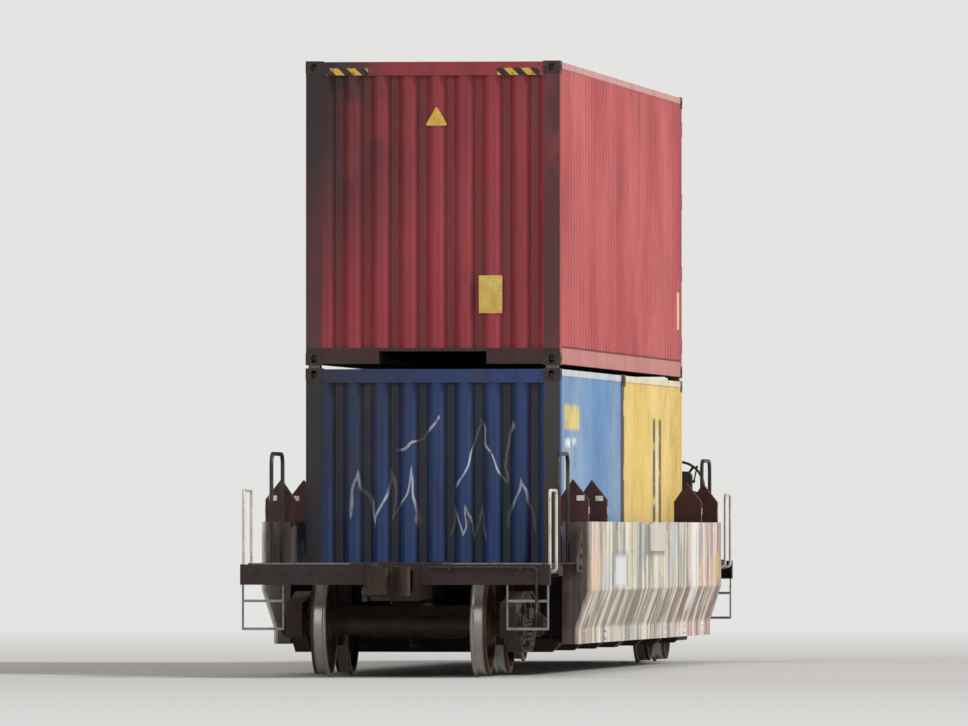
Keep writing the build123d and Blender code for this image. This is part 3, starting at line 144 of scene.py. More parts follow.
def noise(tree, place, scale, detail=4, rough=0.55, size=(1, 1, 1), shift=(0, 0, 0)):
    """Noise on the piece's own metres, stretched by size."""
    at = put(tree, "Mapping", {"Vector": place, "Scale": size, "Location": shift})
    pattern = {"Vector": at, "Scale": scale, "Detail": detail, "Roughness": rough}
    return put(tree, "TexNoise", pattern, out="Fac")


def facing(tree):
    """The parts of the surface's direction."""
    return put(tree, "SeparateXYZ", put(tree, "NewGeometry", out="Normal")).node.outputs


def fill_ramp(ramp, stops):
    """Gives a colour ramp its stops, each a place and a hex code. A new ramp already has two."""
    for i, (at, code) in enumerate(stops):
        stop = ramp.elements[i] if i < 2 else ramp.elements.new(at)
        stop.position = at
        stop.color = linear(code)


def new_material(name, rough, metallic=0.0):
    """A principled material; gives it with its node tree and its object coordinates."""
    made = bpy.data.materials.new(name)
    made.use_nodes = True
    tree = made.node_tree
    surface = tree.nodes["Principled BSDF"].inputs
    surface["Roughness"].default_value = rough
    surface["Metallic"].default_value = metallic
    return made, tree, put(tree, "TexCoord", out="Object")


def finish_surface(tree, colour, height, strength, depth, rough=None):
    """Links colour, bump and, where it varies, roughness to the shader."""
    surface = tree.nodes["Principled BSDF"].inputs
    tree.links.new(colour, surface["Base Color"])
    if rough is not None:
        tree.links.new(rough, surface["Roughness"])
    bump = put(tree, "Bump", {"Height": height, "Strength": strength, "Distance": depth})
    tree.links.new(bump, surface["Normal"])


def scribble(tree, along, z, start, end, base, tall, swings, width):
    """A zigzag sprayed in one go, as an arm swings: where it starts and ends, its foot, height and width."""
    reach = (end - start) / swings / 2
    past_start = put(tree, "Math", along, start, operation="SUBTRACT")
    swing = put(tree, "Math", past_start, reach, operation="PINGPONG")
    line_z = put(tree, "Math", swing, tall / reach, base, operation="MULTIPLY_ADD")
    off = put(tree, "Math", put(tree, "Math", z, line_z, operation="SUBTRACT"), operation="ABSOLUTE")
    spread = width * math.hypot(1.0, tall / reach) / 2
    line = put(tree, "MapRange", off, spread * 1.15, spread * 0.7)
    return product(tree, line, band(tree, along, start, end))


# Faded oxide alkyd of the well sides: chalky, sprayed over in pale blocks, washed down by rain
def well_side_paint():
    made, tree, place = new_material("chalked_oxide_alkyd_paint", 0.62)
    x, y, z = put(tree, "SeparateXYZ", place).node.outputs
    wide = noise(tree, place, 0.45, 3, size=(1, 1, 0.6))
    colour = lay(tree, "#B2948B", "#CDB4AB", put(tree, "MapRange", wide, 0.35, 0.65))
    # The sprayed tints lean a little with height, and wander
    wander = noise(tree, place, 1.6, 2, size=(1, 1, 1.6))
    lean = put(tree, "Math", z, 0.12, x, operation="MULTIPLY_ADD")
    lean = put(tree, "Math", wander, 0.22, lean, operation="MULTIPLY_ADD")
    # Broad tints along the car, a metre or two each
    tint_start, tint_end = -6.1, 7.3
    tints = put(tree, "ValToRGB", put(tree, "MapRange", lean, tint_start, tint_end))
    fill_ramp(tints.node.color_ramp, (
        (0.0, "#C39A9B"), (0.13, "#C7A0A0"), (0.17, "#E9E1DC"), (0.24, "#CFC4BA"), (0.30, "#A9B4B6"),
        (0.42, "#D0CBB8"), (0.50, "#DAD9C2"), (0.58, "#B7CBC6"), (0.68, "#DAD8B8"), (0.78, "#C3D6DE"),
        (0.86, "#D9CF9F"), (0.93, "#D5AFAA"), (1.0, "#C79F9F"),
    ))
    colour = lay(tree, colour, tints, 0.74)
    # Sprayed blocks, 0.3 to 1 m wide, worn at their edges
    at = put(tree, "CombineXYZ", lean, 0.0, product(tree, z, 0.85))
    cell = put(tree, "TexVoronoi", {"Vector": at, "Scale": 1.9, "Randomness": 0.9}, out="Color")
    tone = put(tree, "SeparateColor", cell).node.outputs
    blocks = put(tree, "ValToRGB", tone[0])
    blocks.node.color_ramp.interpolation = "CONSTANT"
    codes = ("#EBE2CE", "#A6BFC6", "#DFC5B2", "#EFE8D4", "#E2BC90", "#BDCBA6", "#93A5AE")
    fill_ramp(blocks.node.color_ramp, [(i / len(codes), code) for i, code in enumerate(codes)])
    worn = noise(tree, place, 5.5, 5, size=(1, 1, 0.5))
    inside = band(tree, z, knee_z - 0.05, side_top - 0.05, 0.05)
    kept = product(tree, inside, band(tree, x, -5.9, 6.0, 0.3), put(tree, "MapRange", tone[1], 0.36, 0.42))
    colour = lay(tree, colour, blocks, kept, put(tree, "MapRange", worn, 0.34, 0.52), 0.66)
    # Outlines left from the spraying, two fingers wide
    line_width = 0.035
    bent = put(tree, "Math", wander, 0.7, x, operation="MULTIPLY_ADD")
    rising = put(tree, "Math", noise(tree, place, 2.1, 1), 0.5, z, operation="MULTIPLY_ADD")
    for start, end, base, tall, swings, tint in (
        (-3.4, -1.3, 1.13, 0.42, 2, "#7D8790"), (-0.9, 1.4, 1.08, 0.38, 3, "#8A8F8E"),
        (1.9, 3.4, 1.16, 0.36, 2, "#8494A0"), (3.9, 6.2, 1.10, 0.42, 3, "#93877C"),
    ):
        mark = scribble(tree, bent, rising, start, end, base, tall, swings, line_width)
        colour = lay(tree, colour, tint, mark, put(tree, "MapRange", worn, 0.32, 0.5), 0.62)
    # Vertical runs of pale and dark, as rain leaves them: broad ones, and narrow ones among them
    plumb = put(tree, "Math", z, 0.05, x, operation="MULTIPLY_ADD")
    plumb = put(tree, "Math", wander, 0.05, plumb, operation="MULTIPLY_ADD")
    stretched = put(tree, "CombineXYZ", plumb, y, product(tree, z, 0.10))
    # The slope between heel and knee faces down and is darkened grey-brown: painted shade
    under_knee = put(tree, "MapRange", z, knee_z + 0.01, knee_z - 0.02)
    over_heel = put(tree, "MapRange", z, heel_z - 0.02, heel_z + 0.03)
    colour = lay(tree, colour, "#7B6C5F", under_knee, over_heel, 0.74)
    unworn = put(tree, "MapRange", worn, 0.25, 0.4)
    colour = patches(tree, colour, x, z, unworn, (
        (4.4, 5.6, heel_z, knee_z, 0.12, 0.5, "#8B877C"),
        (-2.15, -0.28, heel_z, knee_z, 0.12, 0.6, "#7F7A74"),
        (-3.6, -2.6, heel_z, knee_z, 0.1, 0.65, "#8A625B"),
        (-2.25, -1.5, knee_z, 1.10, 0.06, 0.5, "#9DA39E"),
    ))
    for scale, low, high, strength, tint, shift in (
        (1.5, 0.50, 0.55, 0.52, "#EFE7D6", (0, 0, 0)), (1.7, 0.53, 0.58, 0.64, "#81756A", (4.1, 0, 2.2)),
        (3.8, 0.53, 0.60, 0.62, "#F4EDDD", (1.2, 0, 5.0)), (4.4, 0.54, 0.61, 0.62, "#6F6054", (3.1, 0, 1.7)),
    ):
        run = put(tree, "MapRange", noise(tree, stretched, scale, 4, 0.58, shift=shift), low, high)
        colour = lay(tree, colour, tint, run, strength)
    # From the front: a peach patch, a pale blue one, a white one in a dark outline, a painted shadow
    # below and in front of the raised plate with the plate's pale tint over it, a white stripe and an ochre
    # patch
    colour = patches(tree, colour, x, z, unworn, (
        (5.5, 6.55, 0.78, 1.15, 0.15, 0.6, "#EBC7A2"), (4.54, 5.34, 0.83, 1.13, 0.04, 0.55, "#BAC3CC"),
        (2.86, 4.48, 0.83, 1.163, 0.025, 0.5, "#68625E"), (3.05, 4.25, 0.83, 1.13, 0.03, 0.8, "#E6EBEE"),
        # The dark band below and in front of the raised plate is a painted shadow
        (-0.77, 1.12, side_top - 0.330, side_top - 0.02, 0.02, 0.62, "#5F5853"),
        (-0.74, 0.74, side_top - 0.29, side_top - 0.02, 0.012, 0.58, "#F0E6E0"),
        (-4.36, -3.67, 0.60, 1.50, 0.06, 0.75, "#F0ECE9"), (-6.62, -6.1, 0.86, 1.16, 0.05, 0.7, "#CDBB6C"),
    ))
    # Road dirt low down; then a painted highlight on proud edges and painted shade on inner faces, gussets
    # and closures
    dust = noise(tree, place, 2.2, 5)
    low_down = put(tree, "MapRange", z, 0.62, 0.28)
    colour = lay(tree, colour, "#8A7A70", low_down, put(tree, "MapRange", dust, 0.4, 0.7), 0.38)
    outward = product(tree, facing(tree)[1], put(tree, "Math", y, operation="SIGN"))
    slope = put(tree, "MapRange", z, knee_z, heel_z)
    sheet_y = put(tree, "Math", slope, heel_y - side_y, side_y, operation="MULTIPLY_ADD")
    behind = put(tree, "Math", sheet_y, put(tree, "Math", y, operation="ABSOLUTE"), operation="SUBTRACT")
    # Rib sides, plate edges and other proud faces turned from the side are painted near white: a painted
    # highlight that cancels their shade
    turned = put(tree, "MapRange", outward, 0.30, -0.05)
    colour = lay(tree, colour, "#F4EEE6", turned, put(tree, "MapRange", behind, 0.0, -0.002), 0.8)
    # Inner faces, gussets and closures are painted dark oxide: painted shade
    along = put(tree, "Math", x, operation="ABSOLUTE")
    past_end = put(tree, "MapRange", along, side_end_x, side_end_x + 0.004)
    inner = product(tree, turned, put(tree, "MapRange", behind, 0.012, 0.024))
    hidden = put(tree, "Math", inner, past_end, operation="MAXIMUM")
    colour = lay(tree, colour, "#2E1B1B", hidden, 0.9)
    # Rust where paint has chipped, coins to hands wide
    chips = put(tree, "MapRange", noise(tree, place, 16.0, 6, 0.7), 0.655, 0.70)
    colour = lay(tree, colour, "#6B3B24", chips)
    fine = noise(tree, place, 130.0, 3)
    dents = noise(tree, place, 1.7, 2, size=(1, 1, 0.7))
    height = put(tree, "Math", dents, 4.0, product(tree, fine, 0.15), operation="MULTIPLY_ADD")
    rough = put(tree, "MapRange", worn, 0.3, 0.7, 0.5, 0.78)
    finish_surface(tree, colour, height, 0.25, 0.004, rough)
    return made


# Marine container paint over corrugated sheet: sun bleached, chalky, rust bleeding from rails and scuffs
def container_paint(
    name, code, faded, streak, amount, low, high, middle, half_length, rust,
    top_rail=None, foot=None, marks=(), strokes=None, posts=None, sill=None, soot=0.0, recess=None,
):
    made, tree, place = new_material(name, 0.5)
    x, y, z = put(tree, "SeparateXYZ", place).node.outputs
    towards = facing(tree)
    across = put(tree, "Math", y, operation="ABSOLUTE")
    wide = noise(tree, place, 0.5, 3, size=(1, 1, 0.8))
    colour = lay(tree, code, faded, put(tree, "MapRange", wide, 0.32, 0.66))
    runs = put(tree, "MapRange", noise(tree, place, 9.0, 5, 0.62, size=(1, 1, 0.05)), 0.5, 0.72)
    colour = lay(tree, colour, streak, runs, amount)
    scuff = noise(tree, place, 5.0, 6, 0.7, size=(0.35, 1, 1.6), shift=(1.3, 0, 4.1))
    colour = lay(tree, colour, faded, put(tree, "MapRange", scuff, 0.6, 0.7), 0.35)
    if top_rail:
        colour = lay(tree, colour, top_rail, band(tree, z, high - 0.075, high + 0.05, 0.004), 0.8)
    sill_top = low + 0.162
    # The foot rail takes a paler tint; the dark line along its top is a painted shadow in the groove between
    # wall and rail
    if foot:
        colour = lay(tree, colour, foot, band(tree, z, low - 0.05, sill_top, 0.004), 0.75)
        line = band(tree, z, sill_top, sill_top + 0.023, 0.004)
        colour = lay(tree, colour, "#33201C", line, 0.7)
    # Sprayed patches, and strokes on the end wall
    eaten = put(tree, "MapRange", noise(tree, place, 7.0, 5, 0.6, shift=(2.0, 8.0, 1.0)), 0.30, 0.46)
    colour = patches(tree, colour, x, z, eaten, marks)
    end_face = put(tree, "MapRange", put(tree, "Math", towards[0], operation="ABSOLUTE"), 0.3, 0.6)
    if strokes:
        bent = put(tree, "Math", noise(tree, place, 2.2, 1), 0.35, y, operation="MULTIPLY_ADD")
        lift = noise(tree, place, 3.1, 1, 0.5, shift=(3, 0, 0))
        rising = put(tree, "Math", lift, 0.3, z, operation="MULTIPLY_ADD")
        for start, end, base, tall, swings, width, tint in strokes:
            mark = scribble(tree, bent, rising, start, end, base, tall, swings, width)
            colour = lay(tree, colour, tint, mark, eaten, end_face, 0.8)
    if recess:
        # Painted shade in the troughs of the end wall
        tint, strength = recess
        wall_x = middle + half_length
        deep = put(tree, "MapRange", x, wall_x - 0.034, wall_x - 0.052)
        colour = lay(tree, colour, tint, deep, put(tree, "MapRange", towards[0], 0.3, 0.6), strength)
    if posts:
        post_y = 1.064
        at_post = put(tree, "MapRange", across, post_y, post_y + 0.004)
        blotch = noise(tree, place, 4.0, 5, size=(1, 1, 0.5))
        colour = lay(tree, colour, posts, at_post, end_face, put(tree, "MapRange", blotch, 0.15, 0.5))
    # The sill's face, and the tunnel's side webs beside it, are painted near black: painted shade under the
    # wall
    if sill:
        between = put(tree, "Math", end_face, put(tree, "MapRange", across, 1.02, 1.0), operation="MAXIMUM")
        at_sill = put(tree, "MapRange", z, sill_top + 0.004, sill_top - 0.004)
        colour = lay(tree, colour, sill, at_sill, between, 0.9)
    if soot:
        rise = put(tree, "MapRange", z, low + 0.3, high - 0.8)
        cloud = put(tree, "MapRange", noise(tree, place, 1.1, 5), 0.26, 0.50)
        cloud = put(tree, "Math", cloud, put(tree, "MapRange", y, -0.55, -1.0), operation="MAXIMUM")
        far_side = put(tree, "MapRange", y, 0.05, -0.95, 0.06, 1.0)
        colour = lay(tree, colour, "#1E1416", rise, cloud, far_side, end_face, soot)
    # Rust blooms at the rails and bleeds down from them
    near_foot = put(tree, "MapRange", z, low + 0.45, low)
    near_rail = put(tree, "Math", near_foot, put(tree, "MapRange", z, high - 0.35, high), operation="MAXIMUM")
    bleed = noise(tree, place, 11.0, 6, 0.7, size=(1, 1, 0.22), shift=(0, 0, 9.0))
    spots = put(tree, "Math", near_rail, 0.10, bleed, operation="MULTIPLY_ADD")
    rusty = product(tree, put(tree, "MapRange", spots, 0.66, 0.73), rust)
    grain = noise(tree, place, 60.0, 3)
    colour = lay(tree, colour, lay(tree, "#4A2616", "#8A4A26", grain), rusty)
    dirt = noise(tree, place, 2.6, 5, 0.6, size=(1, 1, 0.7), shift=(5.0, 2.0, 0))
    colour = lay(tree, colour, "#4B423C", put(tree, "MapRange", dirt, 0.48, 0.75), 0.3)
    # Roofs gather soot and dust
    flat = put(tree, "MapRange", towards[2], 0.5, 0.95)
    colour = lay(tree, colour, "#7B6A62", flat, put(tree, "MapRange", wide, 0.25, 0.6), 0.4)
    # Corner castings, knocked bare by cranes and twistlocks
    casting_length, casting_height, casting_y, blend = 0.1775, 0.117, 1.057, 0.003
    at_foot = put(tree, "MapRange", z, low + casting_height + blend, low + casting_height)
    at_head = put(tree, "MapRange", z, high - casting_height - blend, high - casting_height)
    tier = put(tree, "Math", at_foot, at_head, operation="MAXIMUM")
    reach = put(tree, "Math", put(tree, "Math", x, middle, operation="SUBTRACT"), operation="ABSOLUTE")
    casting = product(
        tree, tier, put(tree, "MapRange", across, casting_y - blend, casting_y),
        put(tree, "MapRange", reach, half_length - 0.180, half_length - casting_length),
    )
    knocks = put(tree, "MapRange", noise(tree, place, 24.0, 5, 0.65), 0.56, 0.66)
    colour = lay(tree, colour, lay(tree, "#2C1B1A", "#5B3A2C", knocks), casting, 0.88)
    fine = noise(tree, place, 150.0, 2)
    dents = noise(tree, place, 2.3, 2)
    height = put(tree, "Math", dents, 3.0, product(tree, fine, 0.12), operation="MULTIPLY_ADD")
    height = put(tree, "Math", rusty, 0.3, height, operation="MULTIPLY_ADD")
    rough = put(tree, "MapRange", rusty, 0.0, 1.0, 0.48, 0.85)
    finish_surface(tree, colour, height, 0.22, 0.003, rough)
    return made


# Dull paint under grime: frames, guides, brake gear; the frames' and guides' dark base tones are painted
# shade
def grimy_paint(name, code, worn_code, rough_value=0.6, rust=0.4, scale=1.0, dust="#6A5E54"):
    made, tree, place = new_material(name, rough_value)
    wide = noise(tree, place, 1.6 * scale)
    colour = lay(tree, code, worn_code, put(tree, "MapRange", wide, 0.35, 0.65))
    chips = product(tree, put(tree, "MapRange", noise(tree, place, 22.0 * scale, 6, 0.7), 0.58, 0.66), rust)
    colour = lay(tree, colour, "#6A3A22", chips)
    speck = put(tree, "MapRange", noise(tree, place, 7.0 * scale, 5), 0.3, 0.65)
    colour = lay(tree, colour, dust, put(tree, "MapRange", facing(tree)[2], 0.4, 0.95), speck, 0.45)
    fine = noise(tree, place, 95.0 * scale, 3)
    rough = put(tree, "MapRange", wide, 0.3, 0.7, rough_value - 0.1, rough_value + 0.15)
    finish_surface(tree, colour, put(tree, "Math", fine, chips, operation="ADD"), 0.2, 0.0012, rough)
    return made


# Round bar: black enamel on the loops, cream on the side grabs at the ends, worn to steel at hand height
def handrail_paint():
    made, tree, place = new_material("enamelled_round_bar", 0.45)
    x, _, z = put(tree, "SeparateXYZ", place).node.outputs
    outer = put(tree, "MapRange", put(tree, "Math", x, operation="ABSOLUTE"), 8.3, 8.4)
    wide = noise(tree, place, 6.0)
    black = lay(tree, "#171515", "#2A2523", put(tree, "MapRange", wide, 0.35, 0.65))
    cream = lay(tree, "#E6DFCF", "#C9BFAE", put(tree, "MapRange", wide, 0.35, 0.65))
    colour = lay(tree, black, cream, outer)
    chips = put(tree, "MapRange", noise(tree, place, 45.0, 5, 0.7), 0.60, 0.66)
    colour = lay(tree, colour, "#5E3A28", chips, 0.75)
    hand_height = band(tree, z, 1.75, 2.0, 0.15)
    colour = lay(tree, colour, "#6E6964", hand_height, put(tree, "MapRange", wide, 0.45, 0.6), 0.4)
    finish_surface(tree, colour, chips, 0.2, 0.0008)
    return made


# Sand-cast steel: coarse skin, brown rust, black brake dust low down
def cast_steel(name="sand_cast_steel_rusted", dark="#2B201B", light="#46352B"):
    made, tree, place = new_material(name, 0.75, 0.2)
    z = put(tree, "SeparateXYZ", place, out="Z")
    wide = noise(tree, place, 3.0, 5)
    colour = lay(tree, dark, light, put(tree, "MapRange", wide, 0.3, 0.7))
    orange = put(tree, "MapRange", noise(tree, place, 14.0, 6, 0.7), 0.56, 0.7)
    colour = lay(tree, colour, "#7A4A2C", orange, 0.55)
    colour = lay(tree, colour, "#1F1B19", put(tree, "MapRange", z, 0.75, 0.25), 0.5)
    colour = lay(tree, colour, "#75685C", put(tree, "MapRange", facing(tree)[2], 0.4, 0.95), 0.4)
    # Casting skin, sand grains drawn 4 mm wide so that they show
    skin = noise(tree, place, 250.0, 3)
    height = put(tree, "Math", wide, 1.5, skin, operation="MULTIPLY_ADD")
    finish_surface(tree, colour, height, 0.35, 0.0015)
    return made


# Rolled wheel steel: bright worn tread and flange, brown plates, greasy hubs
def wheel_steel():
    made, tree, place = new_material("rolled_wheel_steel", 0.5, 0.6)
    x, y, z = put(tree, "SeparateXYZ", place).node.outputs
    # How far each point lies from its own axle: first along the car from its truck, then from the axle
    dx = x
    for middle in (0.0, truck_x, half_truck):
        dx = put(tree, "Math", dx, middle, operation="SUBTRACT")
        dx = put(tree, "Math", dx, operation="ABSOLUTE")
    dz = put(tree, "Math", z, axle_z, operation="SUBTRACT")
    square = put(tree, "Math", dx, dx, product(tree, dz, dz), operation="MULTIPLY_ADD")
    reach = put(tree, "Math", square, operation="SQRT")
    wide = noise(tree, place, 5.0, 5)
    colour = lay(tree, "#3B2A22", "#5E4232", put(tree, "MapRange", wide, 0.3, 0.7))
    on_rim = band(tree, put(tree, "Math", y, operation="ABSOLUTE"), 0.66, 0.79, 0.01)
    tread = product(tree, put(tree, "MapRange", reach, 0.448, 0.455), on_rim)
    colour = lay(tree, colour, lay(tree, "#8A857F", "#A39E97", wide), tread)
    colour = lay(tree, colour, "#2A2523", put(tree, "MapRange", reach, 0.15, 0.12), 0.6)
    rough = put(tree, "MapRange", tread, 0.0, 1.0, 0.72, 0.28)
    skin = noise(tree, place, 160.0, 3)
    finish_surface(tree, colour, skin, 0.15, 0.001, rough)
    return made


# Zinc-coated steel: grey with faint spangle, brown where the coat has gone
def zinc_coat(name, code, worn, metallic, spangle):
    made, tree, place = new_material(name, 0.48, metallic)
    flakes = put(tree, "TexVoronoi", {"Vector": place, "Scale": spangle}, out="Color")
    colour = lay(tree, code, worn, put(tree, "SeparateColor", flakes), 0.5)
    dirt = noise(tree, place, 12.0, 5)
    colour = lay(tree, colour, "#5A4A3E", put(tree, "MapRange", dirt, 0.5, 0.7), 0.6)
    finish_surface(tree, colour, dirt, 0.15, 0.001)
    return made


# Oiled marine plywood over painted cross members
def deck_timber(low):
    made, tree, place = new_material("oiled_marine_plywood", 0.6)
    z = put(tree, "SeparateXYZ", place, out="Z")
    grain = noise(tree, place, 14.0, 6, 0.65, size=(0.08, 1, 1))
    colour = lay(tree, "#5C3A24", "#8E6440", grain)
    sheets = put(tree, "TexWave", {"Vector": place, "Scale": 0.42}, out="Fac", bands_direction="X")
    colour = lay(tree, colour, "#241811", put(tree, "MapRange", sheets, 0.985, 0.995))
    board_low = low + 0.141
    colour = lay(tree, colour, "#2B2524", put(tree, "MapRange", z, board_low, board_low - 0.004))
    finish_surface(tree, colour, grain, 0.2, 0.001)
    return made


# Moulded EPDM gasket: matt black, bloomed grey
def gasket_rubber():
    made, tree, place = new_material("moulded_epdm_gasket", 0.8)
    bloom = noise(tree, place, 9.0, size=(1, 1, 0.4))
    colour = lay(tree, "#141414", "#34322F", put(tree, "MapRange", bloom, 0.4, 0.7))
    finish_surface(tree, colour, noise(tree, place, 90.0), 0.15, 0.0006)
    return made


# Printed vinyl film in yellow and black bars, 60 mm wide and leaning at 45 degrees
def hatched_film():
    made, tree, place = new_material("hatched_vinyl_film", 0.4)
    x, y, z = put(tree, "SeparateXYZ", place).node.outputs
    pairs_per_metre = 6.0
    slope = put(tree, "Math", put(tree, "Math", x, y, operation="ADD"), z, operation="ADD")
    bars = put(tree, "Math", product(tree, slope, pairs_per_metre), operation="FRACT")
    colour = lay(tree, "#16130F", "#E0B83E", band(tree, bars, 0.25, 0.75, 0.02))
    peel = put(tree, "MapRange", noise(tree, place, 26.0, 5, 0.6), 0.55, 0.62)
    colour = lay(tree, colour, "#6B2A2C", peel, 0.7)
    finish_surface(tree, colour, peel, 0.1, 0.0005)
    return made


# Enamelled plate or vinyl label, plain and bare, with a faded face and small brown specks
def bare_plate(name, code, faded):
    made, tree, place = new_material(name, 0.42)
    wide = noise(tree, place, 9.0)
    colour = lay(tree, code, faded, put(tree, "MapRange", wide, 0.35, 0.65))
    speck = put(tree, "MapRange", noise(tree, place, 70.0), 0.62, 0.68)
    colour = lay(tree, colour, "#5A4630", speck, 0.7)
    finish_surface(tree, colour, wide, 0.1, 0.0005)
    return made


# Moulded acrylic reflector: fine prisms under a glossy face
def acrylic_reflector(name, code):
    made, tree, place = new_material(name, 0.18)
    prisms = put(tree, "TexVoronoi", {"Vector": place, "Scale": 160.0}, out="Distance")
    colour = lay(tree, code, "#B8AFA4", put(tree, "MapRange", noise(tree, place, 20.0), 0.4, 0.7))
    finish_surface(tree, colour, prisms, 0.3, 0.001)
    return made


# Each box's foot, top, middle and half length
red = (red_base, red_top, 0.0, red_half)
blue = (low_base, low_top, short_middle, short_half)
yellow = (low_base, low_top, -short_middle, short_half)

paints = {
    "well_side": well_side_paint(),
    # The frame's and the guides' base tones, darker than the car's faded oxide, are painted shade
    "frame": grimy_paint("brown_oxide_under_grime_and_shade", "#241414", "#35201E", 0.62, 0.45, 1.0, "#54493F"),
    "guide": grimy_paint("shaded_maroon_guide_paint", "#321216", "#471C20", 0.55, 0.3),
    "rails": handrail_paint(),
    "lever": grimy_paint("black_enamel_lever", "#1B1918", "#2A2624", 0.5, 0.35, 2.0),
    "brake": grimy_paint("black_enamel_housing", "#2A2625", "#3B3431", 0.55, 0.4),
    "cast": cast_steel(),
    "spring": cast_steel("oil_quenched_spring_steel", "#2B2523", "#4A382E"),
    "cap": cast_steel("machined_bearing_cap", "#4A4440", "#6A5F57"),
    "wheel": wheel_steel(),
    "galvanised": zinc_coat("hot_dip_galvanised_grating", "#8F9292", "#73767A", 0.55, 90.0),
    "stack": zinc_coat("galvanised_stacking_casting", "#6A6A68", "#4C4A48", 0.5, 60.0),
    "zinc": zinc_coat("zinc_plated_fittings", "#8C8780", "#6E675E", 0.6, 200.0),
    "timber_red": deck_timber(red_base),
    "timber_low": deck_timber(low_base),
    "rubber": gasket_rubber(),
    "hatched": hatched_film(),
    "sign": bare_plate("yellow_enamelled_plate", "#E2B33C", "#EBCB72"),
    "label": bare_plate("bleached_vinyl_label", "#F0B080", "#F8CFAC"),
    "reflector": acrylic_reflector("white_acrylic_reflector", "#E9E6E0"),
    "amber": acrylic_reflector("amber_acrylic_reflector", "#D0893A"),
    "red_side": container_paint(
        "bleached_red_marine_paint", "#B6464A", "#D06A68", "#983A3E", 0.4, *red, 0.35,
        top_rail="#DDA9A2", foot="#CC867F",
    ),
    "red_front": container_paint(
        "shaded_red_marine_paint", "#982A33", "#AC3943", "#6E1C25", 0.5, *red, 0.4,
        posts="#5A2A2E", sill="#120B0C", soot=0.95, recess=("#4E0C16", 0.42),
    ),
    "red_rear": container_paint(
        "door_red_marine_paint", "#A43F44", "#B65B5A", "#7C2E33", 0.4, *red, 0.4,
    ),
    "blue_side": container_paint(
        "bleached_blue_marine_paint", "#6391C4", "#8AAACB", "#7F8B96", 0.45, *blue, 0.6,
        top_rail="#DCDEDC", marks=(
            (4.05, 5.5, 2.34, 2.58, 0.02, 0.9, "#EBD27C"),
            (4.45, 4.85, 2.19, 2.26, 0.02, 0.95, "#F2F2EE"),
            (5.05, 5.45, 2.17, 2.25, 0.02, 0.95, "#F2F2EE"),
            (5.0, 5.6, 1.40, 2.10, 0.12, 0.75, "#D8CDB8"),
            (0.3, 0.9, 1.4, 2.7, 0.15, 0.4, "#8F97A2"),
        ),
    ),
    # The blue box's ends take a navy copy of its side blue: painted shade
    "blue_front": container_paint(
        "shaded_blue_marine_paint", "#142E66", "#22457F", "#10131F", 0.65, *blue, 0.6,
        posts="#3C362A", sill="#141115", soot=0.7, recess=("#0C0D12", 0.82), strokes=(
            (-0.62, 0.06, 1.62, 0.46, 3, 0.030, "#D5D9DC"), (0.42, 0.98, 1.95, 0.60, 1.5, 0.026, "#E2E4E4"),
            (0.30, 0.74, 1.50, 0.24, 3, 0.022, "#CFC9B8"), (-0.20, 0.22, 2.28, 0.30, 0.5, 0.024, "#D5D9DC"),
            (0.86, 1.14, 1.58, 0.42, 1, 0.030, "#B9C4CF"),
        ),
    ),
    "yellow_side": container_paint(
        "bleached_yellow_marine_paint", "#EAC76C", "#F2D68A", "#D2AE63", 0.30, *yellow, 0.4,
        top_rail="#EFE6CB", marks=(
            (-3.30, -3.04, 1.42, 2.50, 0.02, 0.9, "#565552"),
            (-3.98, -3.70, 1.42, 2.50, 0.02, 0.9, "#5D5B56"),
            (-3.68, -3.32, 1.42, 2.40, 0.03, 0.7, "#F1E7C2"),
            (-5.9, -5.0, 1.4, 2.9, 0.2, 0.5, "#C9A33C"),
        ),
    ),
}

# What each node's name starts with, and its paint
node_paints = {
    "well_side": "well_side", "cross_bearers": "frame", "bulkheads": "frame",
    "container_guides": "guide", "end_frame": "frame", "handrails": "rails",
    "corner_steps": "galvanised", "walkways": "galvanised", "uncoupling_levers": "lever",
    "angle_cocks": "brake", "hand_brake": "brake", "air_reservoir": "brake",
    "brake_cylinder": "brake", "control_valve": "brake", "stack_cones": "stack",
    "truck_": "cast", "axle_": "wheel", "wheels_": "wheel", "coupler": "cast", "knuckle": "cast",
    "red_front_end": "red_front", "red_rear_frame": "red_rear", "red_sides": "red_side",
    "red_roof": "red_side", "red_floor": "timber_red", "red_door": "red_rear",
    "blue_front_end": "blue_front", "blue_rear_frame": "blue_front", "blue_sides": "blue_side",
    "blue_roof": "blue_side", "blue_floor": "timber_low", "blue_doors": "blue_front",
    "yellow_front_end": "yellow_side", "yellow_rear_frame": "yellow_side",
    "yellow_sides": "yellow_side", "yellow_roof": "yellow_side", "yellow_floor": "timber_low",
    "yellow_doors": "yellow_side",
}

for node_name, node in nodes.items():
    for start, paint_name in node_paints.items():
        if node_name.startswith(start):
            node.data.materials.clear()
            node.data.materials.append(paints[paint_name])
            break


# Shapes that the new pieces are put together from. Each is made in a small mesh of its own and then
# joined in, because an operator's time grows with all that its mesh already holds
def join(shape, bit, place=None):
    """Adds a small shape to a larger one, moved to its place."""
    mesh = bpy.data.meshes.new("bit")
    bit.to_mesh(mesh)
    bit.free()
    stamp(shape, mesh, place)
    bpy.data.meshes.remove(mesh)


def stamp(shape, pattern, place=None):
    """Adds a copy of a pattern mesh at a place."""
    copy = pattern.copy()
    if place is not None:
        copy.transform(place)
    shape.from_mesh(copy)
    bpy.data.meshes.remove(copy)


def upright(axis):
    """The turn that takes +Z to an axis."""
    return Vector(axis).to_track_quat("Z", "Y").to_matrix().to_4x4()


